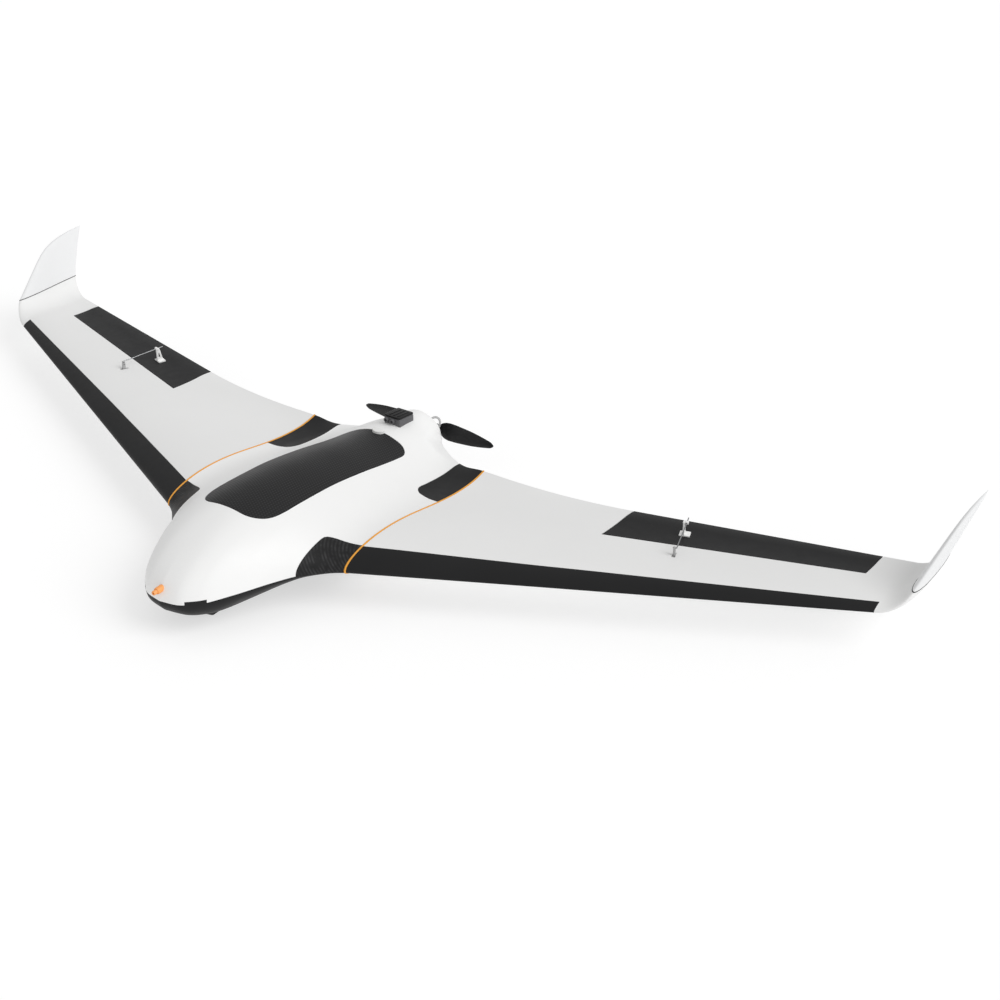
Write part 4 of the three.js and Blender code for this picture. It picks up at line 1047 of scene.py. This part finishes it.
def shoulder_outline(grow):
    """Corner guard at the leading edge, from its apex down and forward to the belly pan."""
    inner = GUARD_X + GAP / 2
    edge = [(ROOT_X + 8, -152.5), (199, -154), (188, -157.5), (176, -162), (166, -166), (157, -170),
            (150.5, -174), (145, -179), (142.2, -184.5), (inner, -192), (inner, -300)]
    return [*[(x - grow, y + grow) for x, y in edge], (ROOT_X + 8, -300)]


def root_outline(grow):
    inner = GUARD_X - grow
    return [(ROOT_X + 5, 64 - grow), (180, 64 - grow), *arc((inner + 26, 92), 26 + grow, 245, 180, 16),
            (inner, 240), (ROOT_X + 5, 240)]


# ------------------------------------------------------------ body pieces

PAN_END = 190
TONGUE = ((43, 68), (-432, -380), (-40, 2))
PORT = (0, 20)
PORT_R = 21
RECESS_R = 24
RECESS_Y = 262


def pan_space(grow):
    """Everything below the widest line between the guards, with a thumb tongue on each side."""
    side = GUARD_X + grow / 2
    half = grow / 2
    space = side_prism("pan_space", [
        (-480, -120), (PAN_END + grow, -120), (PAN_END + grow, half - 5), (-250, half),
        (-400, half - 4), (-480, half - 4)], -side, side)
    (x0, x1), (y0, y1), (z0, z1) = TONGUE
    for low, high in ((x0 - half, x1 + half), (-x1 - half, half - x0)):
        tongue = prism("tongue", soften([(low, y0), (high, y0), (high, y1 + half), (low, y1 + half)], 1, 3),
                       z0, z1 + half)
        join(space, tongue)
    return space


def hatch_panel():
    """Hatch over concentric rows that close on its middle line, with a rolled edge."""
    rim = hatch_outline()
    spine = np.column_stack([np.zeros(len(rim)), np.clip(rim[:, 1], -190, 75)])
    inward = np.array([0, 0.08, 0.25, 0.55, 0.95, 1.4])
    radius = 1.4
    rows = []
    for depth in inward:
        plan = grown(rim, -depth)
        drop = radius - math.sqrt(radius**2 - (radius - depth) ** 2)
        rows.append(np.column_stack([plan, top_at(plan[:, 0], plan[:, 1]) + 0.25 - drop]))
    edge = grown(rim, -inward[-1])
    for share in np.linspace(0, 1, 36)[1:]:
        plan = mix(edge, spine, share)
        rows.append(np.column_stack([plan, top_at(plan[:, 0], plan[:, 1]) + 0.25]))
    under = [row - np.array([0, 0, HATCH_SKIN]) for row in rows[5:]]
    foot = np.column_stack([rim, rows[0][:, 2] - HATCH_SKIN + radius])
    return tube_rings("hatch_panel", [*rows[::-1], foot, *under], capped=False)


def guard(name, outline, outer, inner):
    piece = prism(name, outline(0), -100, 120)
    common(piece, outer, keep_tool=True)
    return cut(piece, inner, keep_tool=True)


def pull_tab():
    """Half-disc tab on the hatch's rear edge, cut off level underneath."""
    x, y, radius, back = 2, 152, 13, 153
    outline = [*arc((x, y), radius, 180, 360, 28), (x + radius, back), (x - radius, back)]
    tab = rounded(prism("pull_tab", outline, 44, 57), 1.1)
    return cut(tab, prism("under_tab", [(-20, 130), (24, 130), (24, 160), (-20, 160)], 30, 51.2))


def hollow(shell, bay):
    """Cuts the equipment bay, the motor recess, the lead tunnel and the probe's bore."""
    cut(shell, bay, keep_tool=True)
    cut(shell, rod("recess", (0, RECESS_Y, AXIS_Z), (0, TAIL_Y + 5, AXIS_Z), RECESS_R, 72))
    cut(shell, rod("tunnel", (0, BAY_END - 5, AXIS_Z), (0, TAIL_Y, AXIS_Z), 6))
    probe = (0, NOSE_Y - 10, PROBE_Z), (0, NOSE_Y + 40, PROBE_Z)
    return cut(shell, rod("probe_bore", *probe, PROBE_R + GAP))


def add_body():
    outer = body_loft("outer")
    under_hatch = body_loft("under_hatch", HATCH_SKIN, count=70)
    under_guards = body_loft("under_guards", GUARD_SKIN)
    bay_span = [x for x in body_stations()[::3] if abs(x) <= BAY_HALF]
    bay = body_loft("bay", WALL, bay_span, 14, BAY_END, 50)

    shell = copied(outer, "fuselage_shell_fine")
    cut(shell, pan_space(GAP))
    hollow(shell, bay)
    rim = hatch_outline()
    pocket = prism("pocket", grown(rim, 0.45), 0, 150)
    cut(pocket, copied(under_hatch, "ledge", (0, 0, -GAP)))
    cut(shell, pocket)
    cut(shell, prism("mouth", grown(rim, -9), 0, 150))
    for outline in (shoulder_outline, root_outline):
        for side in (1, -1):
            recess = prism("recess", [(x * side, y) for x, y in outline(0.35)], -100, 120)
            cut(recess, copied(under_guards, "floor", (0, 0, -GAP)))
            cut(shell, recess)
    dress(shell, "airframe", "body_foam", BODY_WHITE, "fuselage_shell")

    pan = copied(outer, "belly_pan_fine")
    common(pan, pan_space(-GAP))
    cut(pan, bay)
    cut(pan, rod("port", (*PORT, -70), (*PORT, -20), PORT_R, 64))
    dress(pan, "airframe", "black_shell", BLACK, "belly_pan")

    for side, ripple in (("left", RIPPLE_LEFT), ("right", RIPPLE_RIGHT)):
        flip = side == "right"
        shoulder = guard("shoulder", shoulder_outline, outer, under_guards)
        root = guard("root", root_outline, outer, under_guards)
        for piece, node, slot, paint in (
            (shoulder, "shoulder_guard", "weave", ripple), (root, "root_guard", "black_shell", BLACK),
        ):
            fine = copied(piece, f"{node}_fine_{side}", flip=flip)
            bpy.data.objects.remove(piece)
            dress(fine, "airframe", slot, paint, f"{node}_{side}")

    for tool in (outer, under_hatch, under_guards):
        bpy.data.objects.remove(tool)

    hatch = hatch_panel()
    hatch.name = "hatch_cover_fine"
    dress(hatch, "hatch", "weave", WEAVE, "hatch_cover", angle=50)
    tab = pull_tab()
    tab.name = "hatch_pull_tab_fine"
    dress(tab, "hatch", "nylon", TAB_WHITE, "hatch_pull_tab")
    dress_pair(root_seal(), "root_seal", "airframe", "orange", ORANGE_LINE, angle=60)


def add_nose():
    """Air-speed probe with its collar."""
    tip = (0, PROBE_TIP, PROBE_Z)
    tube = lathe("probe_tube_fine", tip, (0, 1, 0), [
        (1.6, 27), (1.6, 1.2), (2.2, 0.3), (3.0, 0), (3.6, 0.3), (PROBE_R, 1.2), (PROBE_R, 37),
        (0.01, 37), (0.01, 27)], 48)
    dress(tube, "airframe", "orange", ORANGE_PROBE, "probe_tube")
    bore = PROBE_R + GAP
    collar = lathe("probe_collar_fine", tip, (0, 1, 0), [
        (bore, 8), (4.6, 7.4), (5.2, 7.6), (5.8, 8.6), (COLLAR_R, 10), (COLLAR_R, 24), (bore, 24)], 48)
    dress(collar, "airframe", "orange", ORANGE_PROBE, "probe_collar")


SKID_TOP = -36                          # inside the belly pan
CHIN_HALF = 32
RAIL_X = (42, 52)


def skid_side(front, back, front_ramp, back_ramp):
    """Side outline of a skid that stands on the ground from front to back, with a ramp at each end."""
    start, end = front - front_ramp, back + back_ramp
    return [(start, SKID_TOP), (front, GROUND_Z), (back, GROUND_Z), (end, SKID_TOP)]


def add_skids():
    chin = side_prism("chin_skid_fine", skid_side(-352, -334, 46, 42), -CHIN_HALF, CHIN_HALF)
    dress(rounded(chin, 3, 4), "airframe", "rubber", RUBBER, "chin_skid")
    rail = rounded(side_prism("skid_rail", skid_side(-140, 150, 25, 25), *RAIL_X), 2.5, 4)
    dress_pair(rail, "skid_rail", "airframe", "rubber", RUBBER)


def add_wings():
    dress_pair(wing_panel(), "wing_panel", "airframe", "wing_foam", WING_WHITE)
    dress_pair(leading_edge(), "leading_edge", "airframe", "black_shell", BLACK)
    dress_pair(winglet(), "winglet", "airframe", "body_foam", WINGLET_WHITE, angle=60)
    dress_pair(winglet_gasket(), "winglet_gasket", "airframe", "rubber", RUBBER, angle=60)
    dress_pair(elevon(), "elevon", "elevon_{side}", "black_shell", BLACK)


def add_linkage():
    dress_pair(servo_case(), "servo_case", "airframe", "nylon", NYLON)
    # The servo arm's mid-grey colour is painted shade
    dress_pair(servo_arm(), "servo_arm", "servo_arm_{side}", "aluminium", ARM_PAINTED_SHADE)
    dress_pair(pushrod(), "pushrod", "pushrod_{side}", "steel", STEEL)
    dress_pair(rod_swivel(), "rod_swivel", "rod_swivel_{side}", "nylon", NYLON)
    dress_pair(control_horn(), "control_horn", "elevon_{side}", "nylon", NYLON)


# ------------------------------------------------------------ equipment

BAY_FLOOR = -36.6


def add_battery():
    pack = rounded(block("battery_fine", (-33, 33), (-305, -150), (BAY_FLOOR + GAP, 12)), 4, 4)
    for y in (-262, -193):
        strap = rounded(block("strap", (-34.2, 34.2), (y - 9, y + 9), (BAY_FLOOR + GAP, 13.2)), 3.4, 4)
        strap.name = f"battery_strap_{'front' if y < -200 else 'rear'}"
        dress(strap, "airframe", "black_shell", BLACK)
    dress(pack, "airframe", "blue_wrap", BLUE_WRAP, "battery")


def add_electronics():
    base = rounded(block("flight_controller_fine", (-25, 25), (-138, -76), (BAY_FLOOR + GAP, -19)), 1.6)
    join(base, rounded(block("lid", (-20, 20), (-133, -81), (-20, -16)), 1.2))
    for i in range(6):
        x = -16 + i * 6.4
        cut(base, block("port", (x - 2.2, x + 2.2), (-80, -74), (-30, -24)))
    dress(base, "airframe", "electronics", CASE, "flight_controller")

    body = rounded(block("payload_camera_fine", (-34, 34), (-24, 64), (-30, 24)), 3, 4)
    for i in range(9):
        y = -12 + i * 8
        cut(body, block("groove", (-40, -32.8), (y - 1, y + 1), (-20, 14)))
        cut(body, block("groove", (32.8, 40), (y - 1, y + 1), (-20, 14)))
    dress(body, "airframe", "electronics", CASE, "payload_camera")

    lens = lathe("camera_lens_fine", (*PORT, -30.3), (0, 0, -1), [
        (0.01, 0), (17, 0), (17, 3), (16.4, 3.6), (17, 4.2), (17, 10.8), (16.2, 11.7), (13, 11.7),
        (12, 10.8), (10, 6), (6, 5), (0.01, 4.4)])
    dress(lens, "airframe", "electronics", LID, "camera_lens")
    pane = rounded(rod("camera_window_fine", (*PORT, -47), (*PORT, -45), PORT_R - GAP, 64), 0.4)
    dress(pane, "airframe", "glass", GLASS, "camera_window")

    controller = rounded(block("speed_controller_fine", (-22, 22), (104, 162), (-30, -14)), 2)
    for i in range(9):
        x = -14 + i * 3.5
        join(controller, block("fin", (x - 0.6, x + 0.6), (110, 156), (-15, -8)))
    dress(controller, "airframe", "blue_wrap", BLUE_WRAP, "speed_controller")


SENSOR_X = (-16, 20.5)
SENSOR_Y = (190, 235)
SENSOR_SPLIT = 62.5
SENSOR_DROP = 5.4                       # the split slopes down by this much towards the rear
SENSOR_LID = 3.3


def sloped(piece):
    """Tips a piece's heights down towards the sensor's rear."""
    start, end = ((y + DATUM[1]) / 1000 for y in SENSOR_Y)
    for vertex in piece.data.vertices:
        vertex.co.z -= SENSOR_DROP / 1000 * (vertex.co.y - start) / (end - start)
    return piece


def add_sensor():
    """Camera-trigger module: housing with two bosses on its front and a lid with fine ribs."""
    x0, x1 = SENSOR_X
    y0, y1 = SENSOR_Y
    base = sloped(rounded(block("sensor_base_fine", SENSOR_X, SENSOR_Y, (42, SENSOR_SPLIT)), 2.6, 4))
    for x in (-8, 6):
        boss = lathe("boss", (x, y0 + 6, SENSOR_SPLIT - 5), (0, -1, 0), [
            (0.01, 0), (4.5, 0), (4.5, 11.4), (4.1, 12), (3.1, 12), (2.7, 11.4), (2.7, 8.5),
            (0.01, 8.5)], 40)
        join(base, boss)
    # The housing's grey, lighter than the lid, is painted light on the sides of a black box
    dress(base, "airframe", "electronics", HOUSING_PAINTED_LIGHT, "sensor_base")
    corners = soften([(x0, y0), (x1, y0), (x1, y1), (x0, y1)], 1, 3)
    top = SENSOR_SPLIT + SENSOR_LID
    lid = rounded(prism("sensor_lid_fine", corners, SENSOR_SPLIT + GAP, top), 0.9)
    for x in (-9, 0, 9):
        join(lid, rounded(block("rib", (x + 1, x + 4), (y0 + 6, y1 - 6), (top - 1.4, top + 0.8)), 0.5))
    dress(sloped(lid), "airframe", "electronics", LID, "sensor_lid")


# ------------------------------------------------------------ motor and propeller

SHAFT = (0, 0, AXIS_Z)


def add_motor():
    plate = lathe("motor_mount_fine", SHAFT, (0, 1, 0), [
        (0.01, 262.3), (21.4, 262.3), (22, 262.9), (22, 264.7), (21.4, 265.3), (0.01, 265.3)])
    for angle in np.radians([45, 135, 225, 315]):
        x, z = 18.5 * math.cos(angle), AXIS_Z + 18.5 * math.sin(angle)
        join(plate, rounded(rod("screw", (x, 264, z), (x, 267.5, z), 2.2), 0.4))
    dress(plate, "airframe", "aluminium", TURNED, "motor_mount")
    stator = lathe("motor_stator_fine", SHAFT, (0, 1, 0), [
        (3.2, 265.6), (15, 265.6), (15, 270.5), (11, 271.5), (11, 273), (14.3, 273.5), (14.3, 289),
        (3.2, 289)])
    dress(stator, "airframe", "aluminium", COPPER, "motor_stator")
    bell = lathe("motor_bell_fine", SHAFT, (0, 1, 0), [
        (0.01, 266), (2.5, 266), (2.5, 291), (15.3, 291), (15.3, 271.8), (17.2, 271.8), (17.5, 272.2),
        (17.5, 275), (17.1, 275.4), (17.1, 276.2), (17.5, 276.6), (17.5, 293.2), (16.9, 295), (15.5, 296.4),
        (6, 298), (6, 300.2), (3, 300.2), (3, 319.6), (2.6, 320), (0.01, 320)])
    for angle in np.radians(np.arange(0, 360, 45)):
        x, z = 9.5 * math.cos(angle), AXIS_Z + 9.5 * math.sin(angle)
        cut(bell, rod("vent", (x, 292, z), (x, 300, z), 2.3, 24))
    dress(bell, "rotor", "electronics", BELL, "motor_bell")
    route = smooth_route([
        (22, 287.9, 24), (22.3, 290, 24.6), (27, 294, 26.5), (33, 296, 25), (36.5, 296, 20),
        (36.5, 295, 13), (32, 294, 7), (25, 293, 4.5), (20, 289.5, 4), (18.6, 284, 3.8),
        (18.5, 268, 4)], 110)
    dress(wire("motor_lead_sleeve_fine", route, 2.2), "airframe", "sleeve", SLEEVE, "motor_lead_sleeve")


PIN_R = 1.5
YOKE_HALF = 25.5
YOKE_THICK = 6.5                        # half its height
SHAFT_BORE = 3.3


def axial(name, y0, y1, radius, sides=28):
    """Rod along the motor shaft."""
    return rod(name, (0, y0, AXIS_Z), (0, y1, AXIS_Z), radius, sides)


def upright(name, low, high, radius, sides=28, side=1):
    """Rod along a blade's pin, between two heights from the shaft."""
    x = BLADE_PIN_X * side
    return rod(name, (x, PROP_Y, AXIS_Z + low), (x, PROP_Y, AXIS_Z + high), radius, sides)


def add_hub():
    hub = rounded(axial("prop_hub_fine", 300.5, 314, 10, 48), 1.0)
    yoke = block("yoke", (-YOKE_HALF, YOKE_HALF), (302, 313.5), (AXIS_Z - YOKE_THICK, AXIS_Z + YOKE_THICK))
    join(hub, rounded(yoke, 2.0, 4))
    for side in (1, -1):
        span = sorted((12.8 * side, 28 * side))
        cut(hub, block("slot", span, (290, 330), (AXIS_Z - 3.4, AXIS_Z + 3.4)))
        cut(hub, upright("hole", -20, 20, PIN_R + GAP, side=side))
    cut(hub, axial("bore", 290, 330, SHAFT_BORE))
    dress(hub, "rotor", "electronics", CASE, "prop_hub")
    nut = rounded(axial("prop_nut_fine", 314.3, 322, 6.5, 6), 0.6)
    cut(nut, axial("bore", 312, 326, SHAFT_BORE))
    dress(nut, "rotor", "steel", STEEL, "prop_nut")
    pin = upright("blade_pin", -9.2, 8, PIN_R)
    head = upright("head", YOKE_THICK + GAP, 9.2, 2 * PIN_R)
    foot = upright("foot", -9.2, -YOKE_THICK - GAP, 2 * PIN_R, 6)
    join(pin, rounded(head, 0.4), rounded(foot, 0.4))
    dress_pair(pin, "blade_pin", "rotor", "steel", STEEL)


BLADE_START = 29
BLADE_PITCH = 80                        # advance per turn
EYE_THICK = 3                           # half the height of the eye around a blade's pin
blade_chord = through(
    (BLADE_START, 20), (34, 28), (42, 33), (52, 35), (62, 35), (80, 33), (100, 29.5), (120, 23.5),
    (135, 17.5), (146, 12), (PROP_RADIUS, 5))


def prop_blade(name):
    """Blade on the +X side: its lower edge leads and its forward face is the arched one."""
    rings = []
    shares = 1 - (1 - np.linspace(0, 1, 80)) ** 1.25
    for x in mix(BLADE_START, PROP_RADIUS, shares):
        chord = float(blade_chord(x))
        tip = math.sqrt(max(1 - ((x - 146) / 6.4) ** 2, 0.04)) if x > 146 else 1
        angle = math.atan(BLADE_PITCH / (2 * math.pi * x)) * float(ease(24, 52, x))
        thick = mix(4.6, 1.1, (x - BLADE_START) / (PROP_RADIUS - BLADE_START)) * mix(1, tip, 0.6)
        t = spread(0, 1, 30)
        along = (t - 0.5) * chord * mix(1, tip, 0.5)
        arch = np.sin(math.pi * t**0.75)

        def row(high):
            return np.column_stack([
                np.full(len(t), x),
                PROP_Y + along * math.sin(angle) - high * math.cos(angle),
                AXIS_Z + along * math.cos(angle) + high * math.sin(angle)])

        rings.append((row(0.45 * thick * arch + 0.25 * tip), row(-0.55 * thick * arch - 0.25 * tip)))
    blade = loft(name, rings)
    eye = rounded(upright("eye", -EYE_THICK, EYE_THICK, 5.4, 48), 0.6)
    width, height = (PROP_Y - 2.4, PROP_Y + 2.4), (AXIS_Z - EYE_THICK, AXIS_Z + EYE_THICK)
    shank = block("shank", (BLADE_PIN_X, BLADE_START + 2), width, height)
    join(blade, eye, rounded(shank, 0.8))
    return cut(blade, upright("hole", -20, 20, PIN_R + GAP))


def add_blades():
    left = prop_blade("prop_blade_fine_left")
    right = prop_blade("prop_blade_fine_right")
    shaft_z = (AXIS_Z + DATUM[2]) / 1000
    for vertex in right.data.vertices:
        vertex.co = Vector((-vertex.co.x, vertex.co.y, 2 * shaft_z - vertex.co.z))
    right.data.update()
    dress(left, "blade_left", "carbon", LAMINATE, "prop_blade_left", angle=45)
    dress(right, "blade_right", "carbon", LAMINATE, "prop_blade_right", angle=45)


def dress_frame():
    """Materials for the CAD nodes that stay as they are."""
    kept = {
        "hinge_rod_left": STEEL, "hinge_rod_right": STEEL, "main_spar": LAMINATE, "rear_spar": LAMINATE,
        "battery_tray": PLYWOOD,
    }
    for node, paint in kept.items():
        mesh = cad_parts[node].data
        mesh.materials.clear()
        mesh.materials.append(paint.material)


add_camera()
add_studio()
add_floor()
add_body()
add_nose()
add_skids()
add_wings()
add_linkage()
add_battery()
add_electronics()
add_sensor()
add_motor()
add_hub()
add_blades()
dress_frame()
